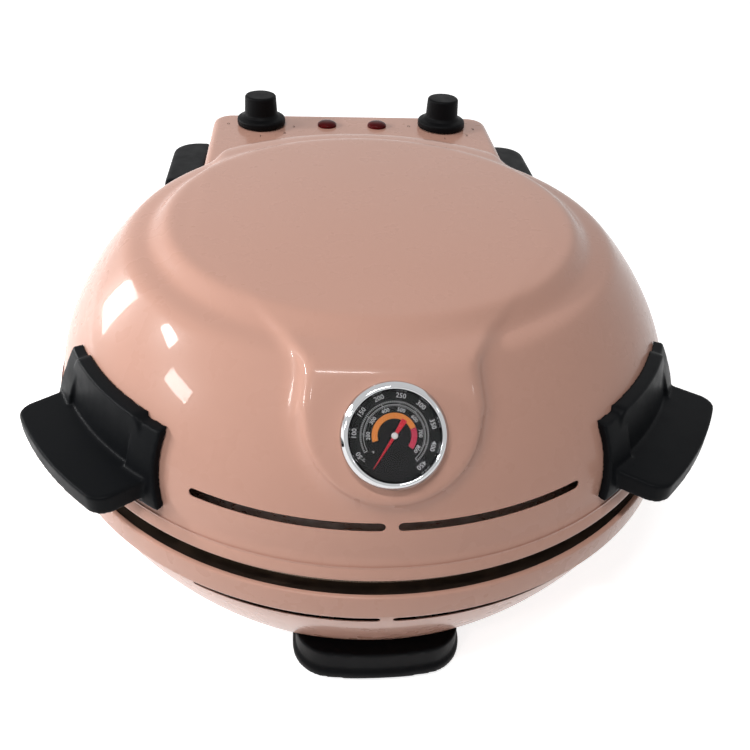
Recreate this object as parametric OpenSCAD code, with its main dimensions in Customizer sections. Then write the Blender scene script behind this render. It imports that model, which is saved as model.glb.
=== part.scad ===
// Countertop electric oven for flat breads. A round base holds a baking stone
// over a heating ring, and a domed lid with a second ring closes over it on a
// rear hinge. The controls sit in a box that is pressed in one with the lid.
// Height 0 is the worktop, the front faces -Y, and the model is moved along Y
// so that its overall box is centred on the origin.

/* [Base] */
// Radius of the base at its rim
base_r = 172; // [168:0.5:178]
// Height of the base rim above the worktop
base_rim_z = 85.7; // [84:0.1:92]
// Height of the bowl's flat underside above the worktop
bowl_floor_z = 11; // [9:0.5:13]
// Height of the upright band below the base rim
band_h = 13.5; // [12:0.5:15]
// How far the band stands out from the bowl below it
band_step = 3; // [2:0.5:4]
// Depth over which the bowl's wall would curve in to nothing
bowl_drop = 142; // [136:1:150]
// How full the bowl's curve is
bowl_bulge = 1.3; // [1.25:0.01:1.35]
// Thickness of the pressed steel casings
sheet = 1.5; // [1.2:0.1:1.8]

/* [Lid] */
// Open gap between the base rim and the lid rim
rim_gap = 8.3; // [7:0.1:10]
// How far the lid rim lies inside the base rim
lid_inset = 2; // [1:0.5:3]
// Height of the crease above the lid rim
crease_h = 10.5; // [9:0.5:12]
// How far the crease lies inside the lid rim
crease_in = 4; // [3:0.5:5]
// Height over which the dome would curve in to nothing
dome_rise = 121; // [118:0.5:126]
// How full the dome's curve is
dome_bulge = 1.6; // [1.55:0.01:1.65]
// Height of the dome's shoulder above the crease
shoulder_h = 69; // [67:0.5:71]
// Radius of the flat top
plateau_r = 105; // [100:0.5:108]
// Height of the flat top's edge above the shoulder
plateau_h = 11.5; // [9:0.5:13]
// How much the flat top rises at its middle
plateau_crown = 1.2; // [0.5:0.1:2]

/* [Slots] */
// Height of an upper slot's centre above the lid rim
upper_slot_h = 25.5; // [24:0.5:28]
// Height of an upper slot's opening
upper_slot_w = 3.9; // [3:0.1:4.5]
// Depth of a lower slot's centre below the base rim
lower_slot_h = 20.3; // [18:0.1:22]
// Height of a lower slot's opening
lower_slot_w = 3.8; // [2.6:0.1:4.5]
// Angle between the front and a slot's near end
slot_near = 1.6; // [1.2:0.1:3]
// Angle between the front and a slot's far end
slot_far = 31; // [24:0.5:32]

/* [Control box] */
// Width of the control box
box_w = 200; // [196:1:204]
// Distance from the oven's axis to the back of the control box
box_back = 218; // [214:0.5:222]
// Height of the control panel above the lid rim
panel_h = 66; // [63:0.5:68]
// Radius of the box's upright rear corners
box_corner = 14; // [10:0.5:18]
// Size of the rounded edge around the panel
box_edge = 4; // [3:0.5:5]
// Sideways distance from the middle to each knob
knob_x = 65; // [62:0.5:68]
// Distance from the back of the box to each knob
knob_in = 22; // [20:0.5:24]
// Radius of a knob's skirt
knob_skirt_r = 17; // [16:0.5:19]
// Radius of a knob's cap
knob_cap_r = 11.5; // [10.5:0.5:13]
// Height of a knob over the panel
knob_h = 20.5; // [19:0.5:26]
// Radius of a thermostat's shaft
shaft_r = 3; // [2.5:0.5:4]
// Sideways distance from the middle to each lamp
lamp_x = 18; // [14:0.5:24]
// Radius of a lamp's red lens
lamp_r = 6.8; // [6:0.1:8]

/* [Hinge] */
// Distance from the oven's axis to the hinge's axis
hinge_back = 192; // [190:0.5:194]
// Height of the hinge's axis above the lid rim
hinge_h = 24; // [22:0.5:26]
// Radius of a hinge pin
pin_r = 4; // [3.5:0.5:4.5]
// Width of a hinge cover
cover_w = 25; // [22:0.5:27]
// Length of a hinge cover from front to back
cover_l = 72; // [68:0.5:73]
// Height of a hinge cover's top above the hinge's axis
cover_up = 22; // [20:0.5:24]
// Radius of a hinge cover's outer rear corner
cover_corner = 17; // [12:0.5:20]

/* [Thermometer] */
// Height of the thermometer's middle above the lid rim
dial_h = 62.5; // [61:0.5:64]
// How far the pad for the thermometer stands out of the dome at its middle
pad_out = 4.6; // [4:0.1:5.2]
// Upward tilt of the thermometer's face
dial_tilt = 36; // [33:0.5:39]
// Radius of the round pad behind the thermometer
pad_r = 36; // [34:0.5:38]
// How far the pad's middle lies above the thermometer's middle
pad_up = 8; // [6:0.5:10]
// Outer radius of the thermometer's bright ring
bezel_r = 22; // [21:0.5:23]
// Thickness of the thermometer in front of its pad
bezel_h = 7; // [6.6:0.1:8]

/* [Handles] */
// Angle from the oven's side to the middle of a handle, towards the front
handle_turn = 37; // [34:0.5:40]
// Length of a handle between its ears
grip_l = 82; // [76:1:86]
// How far a handle's shelf stands out from its wall
shelf_w = 24.5; // [21:0.5:28]
// Length of a handle's shelf
shelf_l = 82; // [72:1:86]
// Thickness of a handle's shelf
shelf_t = 9.5; // [8:0.5:11]
// Height of the underside of a handle above the lid rim
handle_h = 12; // [11.5:0.1:13]
// Height of a handle's upright wall
grip_h = 37; // [34:0.5:39]

/* [Baking chamber] */
// How far the baking stone lies inside the base's rim
stone_inset = 17.5; // [16.5:0.5:22]
// Thickness of the baking stone
stone_t = 12; // [10:0.5:12.5]
// Radius of both heating rings
element_r = 98; // [90:1:104]
// Radius of a heating ring's tube
tube_r = 3.2; // [3:0.1:4]
// Height of the upper heating ring above the lid rim
upper_ring_h = 38; // [34:0.5:42]
// Height of the lower heating ring above the inner floor
lower_ring_h = 11; // [9:0.5:13]
// Thickness of the reflectors
foil = 1; // [0.8:0.1:1.2]

/* [Feet] */
// Width of a foot
foot_w = 86; // [76:1:92]
// How far a foot reaches past the bowl's flat underside
foot_out = 19.7; // [17:0.1:22]
// Angle between the back and each rear foot
foot_turn = 42; // [38:1:50]
// Height of a rubber pad
pad_h = 3; // [2.5:0.5:4]
// Radius of a rubber pad
pad_rubber_r = 7; // [6:0.5:9]

/* [Hidden] */
$fn = 96;

pink = "#dcb09c";
black = "#17181a";
steel = "#b8babc";
slack = 0.2;          // between pieces that are bolted on without a fit
run = 0.05;           // radial clearance of everything that turns
cut = 1;              // how far a cut runs past a face

// heights of the main levels
lid_rim_z = base_rim_z + rim_gap;
crease_z = lid_rim_z + crease_h;
shoulder_z = crease_z + shoulder_h;
plateau_z = shoulder_z + plateau_h;
panel_z = lid_rim_z + panel_h;
band_z = base_rim_z - band_h;
hinge_z = lid_rim_z + hinge_h;

// radii of the main circles
lid_rim_r = base_r - lid_inset;
crease_r = lid_rim_r - crease_in;
step_r = base_r - band_step;

// the model is centred between its front and the end of the cord gland
gland_out = 7;
centre_y = (box_back + gland_out - base_r) / 2;

module in_frame() translate([0, -centre_y, 0]) children();
module both_sides() { children(); mirror([1, 0, 0]) children(); }

function mix(a, b, t) = a + (b - a) * t;
function unit(v) = v / norm(v);
// an outline of [radius, height] points moved to the left of its direction
function moved(p, d) = [for (i = [0:len(p) - 1])
    let (u = unit(p[min(i + 1, len(p) - 1)] - p[max(i - 1, 0)]))
    [p[i][0] == 0 ? 0 : p[i][0] - d * u[1], p[i][1] + d * u[0]]];
// a sheet of thickness d on the left of an outline
function sheet_of(p, d) = let (q = moved(p, d), n = len(p) - 1)
    concat(p, [for (i = [0:n]) q[n - i]]);
// a plate that points along +X: straight sides, a front edge round the axis and
// two round corners that run into both
module arc_plate(w, r, corner, inner) {
    y = w / 2 - corner;
    x = sqrt(pow(r - corner, 2) - y * y);
    far = 1.1 * r / (r - corner);
    translate([inner, -w / 2]) square([x - inner, w]);
    for (s = [-1, 1]) translate([x, s * y]) rotate(180) circle(corner);
    intersection() {
        circle(r);
        polygon([[inner, -y], [x, -y], [x * far, -y * far], [x * far, y * far], [x, y],
            [inner, y]]);
    }
}
// the solid inside an outline that ends on the axis
module turned(p) rotate_extrude() polygon(concat(p, [[0, p[0][1]]]));

// ---- outlines of the lid ----
dome_steps = 12;
rim_lean = 0.5;
shoulder_round = [[-1.8, 1.5], [-5.5, 2.6]];    // from the shoulder, inwards
terrace = [[8, -7.2], [4, -3.2], [1.4, -0.9]];  // from the plateau's edge
crown_steps = 3;
ledge_top = plateau_z + terrace[0][1] + 0.2;    // height of the ledge around the plateau
function dome_r(z) =
    crease_r * sqrt(1 - pow(max(0, z - crease_z) / dome_rise, dome_bulge));
shoulder_r = dome_r(shoulder_z);
dome_line = [for (i = [0:dome_steps])
    let (z = mix(crease_z, shoulder_z, i / dome_steps)) [dome_r(z), z]];
rim_line = [[lid_rim_r, lid_rim_z],
    [lid_rim_r - rim_lean, mix(lid_rim_z, crease_z, 0.35)],
    [mix(crease_r, lid_rim_r, 0.25), mix(lid_rim_z, crease_z, 0.75)]];
crown_line = [for (i = [0:crown_steps])
    let (t = 1 - i / crown_steps)
    [plateau_r * t, plateau_z + plateau_crown * (1 - t * t)]];
lid_line = concat(rim_line, dome_line,
    [for (p = shoulder_round) [shoulder_r, shoulder_z] + p],
    [for (p = terrace) [plateau_r, plateau_z] + p], crown_line);

// ---- the thermometer's pad, on a plane that leans back ----
pad_z = lid_rim_z + dial_h;
pad_y = -(dome_r(pad_z) + pad_out);
neck_out = 5.5;       // how far the neck above the pad stands out of the dome
neck_low = 20;        // where the pad's circle turns into the neck
neck_high = 62;
neck_w = 104;         // width of the neck at its top
module on_pad() translate([0, pad_y, pad_z]) rotate([90 - dial_tilt, 0, 0])
    children();
module neck_outline(d) {
    translate([0, pad_up]) circle(pad_r - d);
    polygon([for (s = [1, -1], p = s > 0
        ? [[pad_r - 2.5 - d, neck_low], [pad_r - 1 - d, neck_low + 12],
           [neck_w / 2 - 8 - d, neck_low + 24], [neck_w / 2 - d, neck_high]]
        : [[neck_w / 2 - d, neck_high], [neck_w / 2 - 8 - d, neck_low + 24],
           [pad_r - 1 - d, neck_low + 12], [pad_r - 2.5 - d, neck_low]])
        [s * p[0], p[1]]]);
}
module neck_solid(d) intersection() {
    on_pad() translate([0, 0, -30]) linear_extrude(30 - d) neck_outline(d);
    turned(concat(moved(dome_line, -(neck_out - d)),
        [[plateau_r + 8, ledge_top - d], [0, ledge_top - d]]));
}

// ---- the control box, pressed in one with the dome ----
box_front = 60;       // inside the dome, where it doesn't show
module box_outline(d) {
    w = box_w / 2 - d;
    r = box_corner - d;
    translate([-w, box_front]) square([2 * w, box_back - d - r - box_front]);
    translate([r - w, box_front]) square([2 * (w - r), box_back - d - box_front]);
    for (s = [-1, 1]) translate([s * (w - r), box_back - d - r]) circle(r);
}
module box_solid(d, low) {
    up = panel_z - d - box_edge;
    translate([0, 0, low]) linear_extrude(up - low) box_outline(d);
    hull() for (i = [0:3]) let (a = i * 30)
        translate([0, 0, up + box_edge * sin(a) - 0.01])
        linear_extrude(0.01) box_outline(d + box_edge * (1 - cos(a)), $fn = 32);
}

// a slot on each side of the front, between two angles, cut square to the axis
slot_reach = 10;      // how far the cut runs to each side of the wall
module slot_cut(r, z, w) for (s = [-1, 1]) {
    start = s > 0 ? slot_near : -slot_far;
    rotate([0, 0, start - 90]) rotate_extrude(angle = slot_far - slot_near)
        translate([r - slot_reach, z - w / 2]) square([2 * slot_reach, w]);
    for (a = [slot_near, slot_far]) rotate([0, 0, s * a - 90])
        translate([r - slot_reach - 2, 0, z]) rotate([90, 0, 90])
        cylinder(h = 2 * slot_reach + 4, d = w);
}

// places on the panel
knob_y = box_back - knob_in;
nut_t = 2.5;
bush_r = shaft_r + 2;
lamp_stem_r = 4.8;
module at_knob(s) translate([s * knob_x, knob_y, 0]) children();
module at_lamps() for (s = [-1, 1]) translate([s * lamp_x, knob_y - 1, 0]) children();

// places on the hinge
hinge_bush_r = pin_r + 2.5;
module on_hinge(x) translate([x, hinge_back, hinge_z]) rotate([0, 90, 0]) children();

// places on the handles: +X is outwards from the oven's axis
module at_handle(s) rotate([0, 0, s > 0 ? -handle_turn : 180 + handle_turn]) children();
handle_z = lid_rim_z + handle_h;
screw_z = handle_z + grip_h / 2;
screw_r = 2;
screw_t = grip_l / 2 - 8;
dome_at_screw = dome_r(screw_z);
handle_screw_turn = asin(screw_t / dome_at_screw);
module at_handle_screws(s) at_handle(s) for (a = [-1, 1] * handle_screw_turn)
    rotate([0, 0, a]) translate([dome_at_screw, 0, screw_z]) rotate([0, 90, 0]) children();

module lid_shell() color(pink) in_frame() difference() {
    union() { turned(lid_line); neck_solid(0); box_solid(0, lid_rim_z); }
    turned(concat([[lid_rim_r - sheet, lid_rim_z - cut]], moved(lid_line, sheet)));
    neck_solid(sheet);
    box_solid(sheet, lid_rim_z - cut);
    slot_cut(dome_r(lid_rim_z + upper_slot_h), lid_rim_z + upper_slot_h, upper_slot_w);
    on_pad() translate([0, 0, -10]) cylinder(h = 20, r = stub_r + slack);
    for (s = [-1, 1]) at_knob(s) translate([0, 0, panel_z - 5])
        cylinder(h = 10, r = bush_r + slack);
    at_lamps() translate([0, 0, panel_z - 5]) cylinder(h = 10, r = lamp_stem_r + slack);
    both_sides() on_hinge(box_w / 2 - 5) cylinder(h = 10, r = hinge_bush_r);
    translate([0, box_back - 5, gland_z]) rotate([-90, 0, 0]) cylinder(h = 10, r = gland_r);
    for (s = [-1, 1]) at_handle_screws(s) translate([0, 0, -8])
        cylinder(h = 12, r = screw_r + slack);
}

// ---- inside the lid ----
liner_z = lid_rim_z + foil + 1;        // top of the reflector's flange
liner_r = lid_rim_r - 12.5;
liner_rise = 100;
liner_top = liner_z + 68;
liner_steps = 7;
flange_r = lid_rim_r - sheet - 1.5;
function liner_at(z) = liner_r * sqrt(1 - pow((z - liner_z) / liner_rise, dome_bulge));
liner_line = concat([[flange_r, liner_z]],
    [for (i = [0:liner_steps]) let (z = mix(liner_z, liner_top, i / liner_steps))
        [liner_at(z), z]], [[0, liner_top]]);
upper_ring_z = lid_rim_z + upper_ring_h;
leg_turn = 8;                          // from the back to each end of a ring
leg_r = tube_r + 0.4;
leg_end = 12;                          // how far a leg runs past the plate it goes through
bite = 5;                              // how far a cut runs to each side of a plate
insulator_r = leg_r + 2.4;
module at_legs() for (s = [-1, 1]) rotate([0, 0, 90 + s * leg_turn])
    translate([element_r, 0, 0]) children();

module lid_liner() color(steel) in_frame() difference() {
    rotate_extrude() polygon(sheet_of(liner_line, foil));
    on_pad() translate([0, 0, -stem_l]) cylinder(h = stem_l, r = stem_r + 1.5);
    at_legs() translate([0, 0, liner_top - bite]) cylinder(h = 2 * bite, r = insulator_r);
}

module heating_ring(z, leg_low, leg_top) {
    rotate([0, 0, 90 + leg_turn]) rotate_extrude(angle = 360 - 2 * leg_turn)
        translate([element_r, z]) circle(tube_r);
    at_legs() translate([0, 0, leg_low]) cylinder(h = leg_top - leg_low, r = leg_r);
}

// straps that hang a ring from a plate or hold it up from one, with each foot
// turned towards the oven's axis
strap_w = 10;
strap_t = 1.6;
strap_gap = 0.5;
clip_count = 4;
module clips(z, plate_z) for (i = [0:clip_count - 1])
    rotate([0, 0, (i + 0.5) * 360 / clip_count]) translate([element_r, 0, 0])
    rotate([0, 0, 180]) difference() {
        union() {
            translate([tube_r + strap_gap, -strap_w / 2, min(z, plate_z)])
                cube([strap_t, strap_w, abs(plate_z - z)]);
            translate([-tube_r - strap_t, -strap_w / 2, z - tube_r - strap_t])
                cube([2 * tube_r + 2 * strap_t + strap_gap, strap_w, 2 * (tube_r + strap_t)]);
            translate([tube_r + strap_gap, -strap_w / 2, plate_z - (plate_z > z ? strap_t : 0)])
                cube([strap_w, strap_w, strap_t]);
        }
        translate([0, strap_w, z]) rotate([90, 0, 0])
            cylinder(h = 2 * strap_w, r = tube_r + 0.15);
    }
// a ceramic sleeve around each leg, whose collar rests on the plate it passes
sleeve_low = 6;
collar_t = 3;
module insulators(plate_z) at_legs() translate([0, 0, plate_z]) difference() {
    union() {
        translate([0, 0, -sleeve_low]) cylinder(h = sleeve_low + collar_t, r = insulator_r);
        cylinder(h = collar_t, r = insulator_r + 2);
    }
    translate([0, 0, -sleeve_low - cut])
        cylinder(h = sleeve_low + collar_t + 2 * cut, r = leg_r);
}

module upper_element() color("#5a5856") in_frame()
    heating_ring(upper_ring_z, upper_ring_z - leg_r, liner_top + leg_end);
module upper_clips() color(steel) in_frame() clips(upper_ring_z, liner_top - foil);
module upper_insulators() color("#e8e2d6") in_frame() insulators(liner_top);

// ---- thermometer, measured from the pad's face outwards ----
stub_r = 4.5;
stem_r = 2.5;
stem_l = 40;
case_r = bezel_r - 1.8;
case_wall = 1;
case_h = bezel_h - 1.8;
dial_z = 2.2;
dial_t = 0.6;
pivot_r = 0.6;
needle_z = dial_z + dial_t + 0.6;
needle_t = 0.5;
needle_l = 15.6;
needle_tail = 7.4;
needle_rest = 237;     // angle of the needle's tip when the oven is cold
lens_t = 1;

module thermometer_case() color(steel) in_frame() on_pad() difference() {
    union() {
        cylinder(h = case_h, r = case_r);
        translate([0, 0, -8]) cylinder(h = 8.5, r = stub_r);
        translate([0, 0, -stem_l]) cylinder(h = stem_l, r = stem_r);
    }
    translate([0, 0, 1]) cylinder(h = dial_z - 1 + 0.01, r = case_r - 2.2);
    translate([0, 0, dial_z]) cylinder(h = case_h, r = case_r - case_wall);
}
module thermometer_dial() color("#121214") in_frame() on_pad() difference() {
    translate([0, 0, dial_z]) cylinder(h = dial_t, r = case_r - case_wall - 0.1);
    translate([0, 0, dial_z - cut]) cylinder(h = 4, r = pivot_r + run);
}
module thermometer_needle() color("#c8281e") in_frame() on_pad()
    rotate([0, 0, needle_rest]) {
        translate([0, 0, 1.3]) cylinder(h = needle_z - 1.3, r = pivot_r);
        translate([0, 0, needle_z]) cylinder(h = needle_t + 0.5, r = 1.9);
        translate([0, 0, needle_z]) linear_extrude(needle_t)
            polygon([[needle_l, 0.15], [needle_l, -0.15], [1, -0.7], [-needle_tail, -1.3],
                [-needle_tail, 1.3], [1, 0.7]]);
    }
module thermometer_lens() color([0.8, 0.9, 0.95, 0.35]) in_frame() on_pad()
    translate([0, 0, case_h]) cylinder(h = lens_t, r = case_r - 0.6);
module thermometer_bezel() color("#d4d6d8") in_frame() on_pad() rotate_extrude()
    polygon([[case_r, 0.2], [bezel_r, 0.2], [bezel_r, bezel_h - 3.4],
        [bezel_r - 0.9, bezel_h - 2.2], [bezel_r - 1.6, bezel_h - 1.9],
        [bezel_r - 2.6, bezel_h], [bezel_r - 3.6, bezel_h], [bezel_r - 4.5, bezel_h - 0.7],
        [case_r - 0.5, case_h + lens_t], [case_r - 0.5, case_h], [case_r, case_h]]);
module thermometer_nut() color(steel) in_frame() on_pad()
    translate([0, 0, -sheet - 4.1]) difference() {
        cylinder(h = 4, r = 8, $fn = 6);
        translate([0, 0, -cut]) cylinder(h = 6, r = stub_r);
    }

// ---- handles ----
shelf_corner = 9;
grip_r = lid_rim_r - 4.5;               // outside of the upright wall
grip_in = dome_r(handle_z + grip_h) - 3;        // inside the dome all the way up
grip_turn = asin(grip_l / 2 / grip_r);
shelf_r = grip_r + shelf_w;
grip_corner = 6;                        // rounding of the wall's upper corners
grip_lean = 6;                          // how far the wall's outside leans inwards
end_lean = 10;                          // and how far each of its ends does
shelf_up = 3.5;                         // underside of the shelf above the handle's
ear_t = 4.5;
ear_cut = 66;
ear_low = 7.5;                          // reach of an ear at its bottom and its top
ear_high = 2;
ear_hollow = 2.5;
reach = 50;                             // how far outlines run to each side of the wall
module grip_outline() {
    w = grip_l / 2;
    low = shelf_up + shelf_t;
    top = w - end_lean - grip_corner;
    polygon([[-w, 0], [w, 0], [w, low], [top + grip_corner, grip_h - grip_corner],
        [top, grip_h - grip_corner], [top, grip_h], [-top, grip_h],
        [-top, grip_h - grip_corner], [-top - grip_corner, grip_h - grip_corner], [-w, low]]);
    for (s = [-1, 1]) translate([s * top, grip_h - grip_corner]) rotate(-90)
        circle(grip_corner);
}
module ear_outline() difference() {
    top = grip_h / 2 - 2;
    polygon([[-14, -grip_h / 2], [ear_low, -grip_h / 2], [ear_high, top], [-14, top]]);
    translate([(ear_low + ear_high) / 2 - ear_hollow + ear_cut, 9.8]) circle(ear_cut);
}
module handle_solid(s) difference() {
    union() {
        at_handle(s) intersection() {
            rotate([0, 0, -2 * grip_turn]) rotate_extrude(angle = 4 * grip_turn)
                translate([0, handle_z]) polygon([[grip_in, 0], [grip_r, 0],
                    [grip_r, shelf_up + shelf_t], [grip_r - grip_lean, grip_h],
                    [grip_in, grip_h]]);
            translate([grip_r - reach, 0, handle_z]) rotate([90, 0, 90])
                linear_extrude(2 * reach) grip_outline();
        }
        at_handle(s) translate([0, 0, handle_z + shelf_up]) linear_extrude(shelf_t)
            arc_plate(shelf_l, shelf_r, shelf_corner, grip_r - 24);
        intersection() {
            turned(moved(lid_line, -ear_t));
            at_handle(s) for (t = [-1, 1]) rotate([0, 0, t * grip_turn])
                translate([grip_r - reach, 0, handle_z + grip_h / 2]) rotate([90, 0, 90])
                linear_extrude(2 * reach) scale([t, 1]) ear_outline();
        }
    }
    turned(moved(lid_line, -slack));
    at_handle_screws(s) translate([0, 0, -8]) cylinder(h = 11.5, r = screw_r);
}
module handle_left() color(black) in_frame() handle_solid(-1);
module handle_right() color(black) in_frame() handle_solid(1);
module handle_screws() color(steel) in_frame() for (s = [-1, 1]) at_handle_screws(s) {
    translate([0, 0, -4]) cylinder(h = 7, r = screw_r);
    translate([0, 0, -6.2]) cylinder(h = 2.4, r = 3.6);
}

// ---- inside the control box ----
floor_t = 1.5;
floor_z = lid_rim_z + 0.5;
floor_in = sheet + 0.3;
small_screw_r = 1.7;
small_screw_l = 7;
module at_floor_screws() for (x = [-78, -26, 26, 78])
    translate([x, box_back - floor_in - 7, floor_z]) children();
module box_floor() color(steel) in_frame() difference() {
    translate([0, 0, floor_z]) linear_extrude(floor_t) difference() {
        box_outline(floor_in);
        circle(flange_r + 0.8);
        translate([-box_w, 0]) square([2 * box_w, 100]);
    }
    at_floor_screws() translate([0, 0, -cut]) cylinder(h = floor_t + 2 * cut, r = small_screw_r);
}
// a row of screws along the back, each put in from below
module box_floor_screws() color(steel) in_frame() at_floor_screws() {
    translate([0, 0, -1.6]) cylinder(h = 1.6, r = 3);
    cylinder(h = small_screw_l, r = small_screw_r);
}

stat_w = 32;
stat_l = 28;
stat_h = 24;
stat_gap = 2;         // between a thermostat's case and the panel
stat_top = panel_z - sheet - stat_gap;
bush_low = 1;         // how deep a bush is set into the case
tab_l = 6;
bore_low = 14;        // depth of the shaft's bore and of the shaft in the case
shaft_low = 13;
module thermostat(s) difference() {
    union() {
        at_knob(s) translate([-stat_w / 2, -stat_l / 2 - 2, stat_top - stat_h])
            cube([stat_w, stat_l, stat_h]);
        at_knob(s) translate([0, 0, stat_top - bush_low])
            cylinder(h = stat_gap + bush_low, r = bush_r + 4);
        at_knob(s) translate([0, 0, stat_top - bush_low])
            cylinder(h = panel_z - stat_top + bush_low + nut_t, r = bush_r);
        for (x = [-8, 8]) at_knob(s) translate([x - 3, -4, stat_top - stat_h - tab_l])
            cube([6, 0.8, tab_l + cut]);
    }
    at_knob(s) translate([0, 0, stat_top - bore_low]) cylinder(h = 40, r = shaft_r + run);
}
module thermostat_left() color("#8c8a84") in_frame() thermostat(-1);
module thermostat_right() color("#8c8a84") in_frame() thermostat(1);
module thermostat_nuts() color(steel) in_frame() for (s = [-1, 1]) at_knob(s)
    translate([0, 0, panel_z]) difference() {
        cylinder(h = nut_t - 0.3, r = bush_r + 2.5, $fn = 6);
        translate([0, 0, -cut]) cylinder(h = 5, r = bush_r);
    }

knob_gap = 0.8;                         // between a knob's skirt and the panel
skirt_h = 5.5;
knob_top_t = 3;
nut_room = 3.5;                         // depth of the recess over the nut
knob_bore_h = knob_h - nut_room - knob_top_t;
shaft_top = panel_z + knob_gap + nut_room + knob_bore_h;
module shaft(s) at_knob(s) translate([0, 0, stat_top - shaft_low])
    cylinder(h = shaft_top - stat_top + shaft_low, r = shaft_r);
module shaft_left() color(steel) in_frame() shaft(-1);
module shaft_right() color(steel) in_frame() shaft(1);
module knob(s) at_knob(s) translate([0, 0, panel_z + knob_gap]) difference() {
    rotate_extrude() polygon([[0, 0], [knob_skirt_r - 0.8, 0], [knob_skirt_r, 0.8],
        [knob_skirt_r, skirt_h - 1.6], [knob_skirt_r - 1.4, skirt_h - 0.3],
        [knob_cap_r + 0.6, skirt_h], [knob_cap_r, skirt_h + 0.8],
        [knob_cap_r - 0.5, knob_h - 1.4], [knob_cap_r - 1.3, knob_h - 0.3],
        [0, knob_h]]);
    translate([0, 0, -cut]) cylinder(h = cut + nut_room, r = bush_r + 4);
    translate([0, 0, -cut]) cylinder(h = cut + nut_room + knob_bore_h, r = shaft_r);
}
module knob_left() color(black) in_frame() knob(-1);
module knob_right() color(black) in_frame() knob(1);

module lamp_lenses() color("#7a0e10") in_frame() at_lamps()
    translate([0, 0, panel_z]) rotate_extrude() polygon([[0, -6], [lamp_stem_r, -6],
        [lamp_stem_r, 0], [lamp_r, 0], [lamp_r, 0.8], [lamp_r * 0.88, 2], [lamp_r * 0.6, 3],
        [lamp_r * 0.3, 3.5], [0, 3.6]]);
module lamp_holders() color("#e6e2da") in_frame() at_lamps()
    translate([0, 0, panel_z - 18]) difference() {
        cylinder(h = 18 - sheet, r = lamp_stem_r + 1.5);
        translate([0, 0, 12]) cylinder(h = 8, r = lamp_stem_r);
    }
block_l = 48;
module terminal_block() color("#e6e2da") in_frame()
    translate([-block_l / 2, box_back - 42, floor_z + floor_t]) difference() {
        cube([block_l, 16, 13]);
        for (i = [0:4]) translate([5 + i * 9.5, 8, 4]) cylinder(h = 10, r = 2.2);
    }

gland_z = lid_rim_z + 22;
gland_r = 7;
module cord_gland() color(black) in_frame() translate([0, box_back, gland_z])
    rotate([-90, 0, 0]) difference() {
        union() {
            translate([0, 0, -10]) cylinder(h = 10, r = gland_r);
            cylinder(h = 2.5, r = gland_r + 3);
            cylinder(h = gland_out, r = gland_r - 0.5);
            translate([0, 0, -sheet - 3]) cylinder(h = 3, r = gland_r + 2);
        }
        translate([0, 0, -10 - cut]) cylinder(h = 12 + gland_out + cut, r = 3.8);
    }

// ---- hinge ----
bush_flange = 1.2;
ear_gap = 0.5;
bracket_t = 2.5;
ear_x = box_w / 2 + bush_flange + ear_gap;      // inner face of a bracket ear
cover_x = ear_x + bracket_t + slack;            // inner face of a cover
bracket_top = band_z - 3;
bracket_low = bracket_top - 26;
bracket_turn = 36;
pin_end = cover_x + cover_w - 5;
ear_front = 24;                                 // reach of an ear around the pin
module hinge_bushes() color("#b08d4a") in_frame() both_sides() difference() {
    union() {
        on_hinge(box_w / 2 - 6) cylinder(h = 6, r = hinge_bush_r);
        on_hinge(box_w / 2) cylinder(h = bush_flange, r = hinge_bush_r + 3);
    }
    on_hinge(box_w / 2 - 8) cylinder(h = 14, r = pin_r + run);
}
module hinge_pins() color(steel) in_frame() both_sides()
    on_hinge(box_w / 2 - 11) cylinder(h = pin_end - box_w / 2 + 11, r = pin_r);
module hinge_clips() color(steel) in_frame() both_sides()
    on_hinge(box_w / 2 - 8.5) difference() {
        cylinder(h = 1.4, r = pin_r + 3);
        translate([0, 0, -cut]) cylinder(h = 4, r = pin_r);
    }

// ---- outlines of the base ----
bowl_steps = 8;
bowl_turn_in = 4;
function bowl_r(z) = step_r * sqrt(1 - pow((band_z - z) / bowl_drop, bowl_bulge));
bowl_line = [for (i = [0:bowl_steps])
    let (z = mix(band_z, bowl_floor_z + 2, i / bowl_steps)) [bowl_r(z), z]];
bowl_floor_r = bowl_r(bowl_floor_z + 2) - bowl_turn_in;
rim_round = 1.3;
base_line = concat([[base_r - rim_round, base_rim_z], [base_r, base_rim_z - rim_round],
    [base_r, band_z + rim_round], [base_r - rim_round / 2, band_z]], bowl_line,
    [[bowl_floor_r, bowl_floor_z], [0, bowl_floor_z]]);
bowl_only = concat(bowl_line, [[bowl_floor_r, bowl_floor_z], [0, bowl_floor_z]]);
module bowl_solid(d) turned(moved(bowl_only, d));
lip_w = 3;
cover_plate_r = 104;
hole_r = cover_plate_r - 8;

module at_feet() for (a = [0, 180 - foot_turn, 180 + foot_turn])
    rotate([0, 0, a]) children();
foot_screw_y = -(bowl_floor_r - 12);
foot_screw_x = 26;
module at_foot_screws() at_feet() for (x = [-1, 1] * foot_screw_x)
    translate([x, foot_screw_y, 0]) children();
bracket_screw_z = mix(bracket_low, bracket_top, 0.5);
module at_bracket_screws() for (a = [-24, -8, 8, 24]) rotate([0, 0, 90 + a])
    translate([bowl_r(bracket_screw_z), 0, bracket_screw_z]) rotate([0, 90, 0]) children();
module at_cover_screws() for (i = [0:3]) rotate([0, 0, 45 + 90 * i])
    translate([(hole_r + cover_plate_r) / 2, 0, bowl_floor_z]) children();

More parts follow.
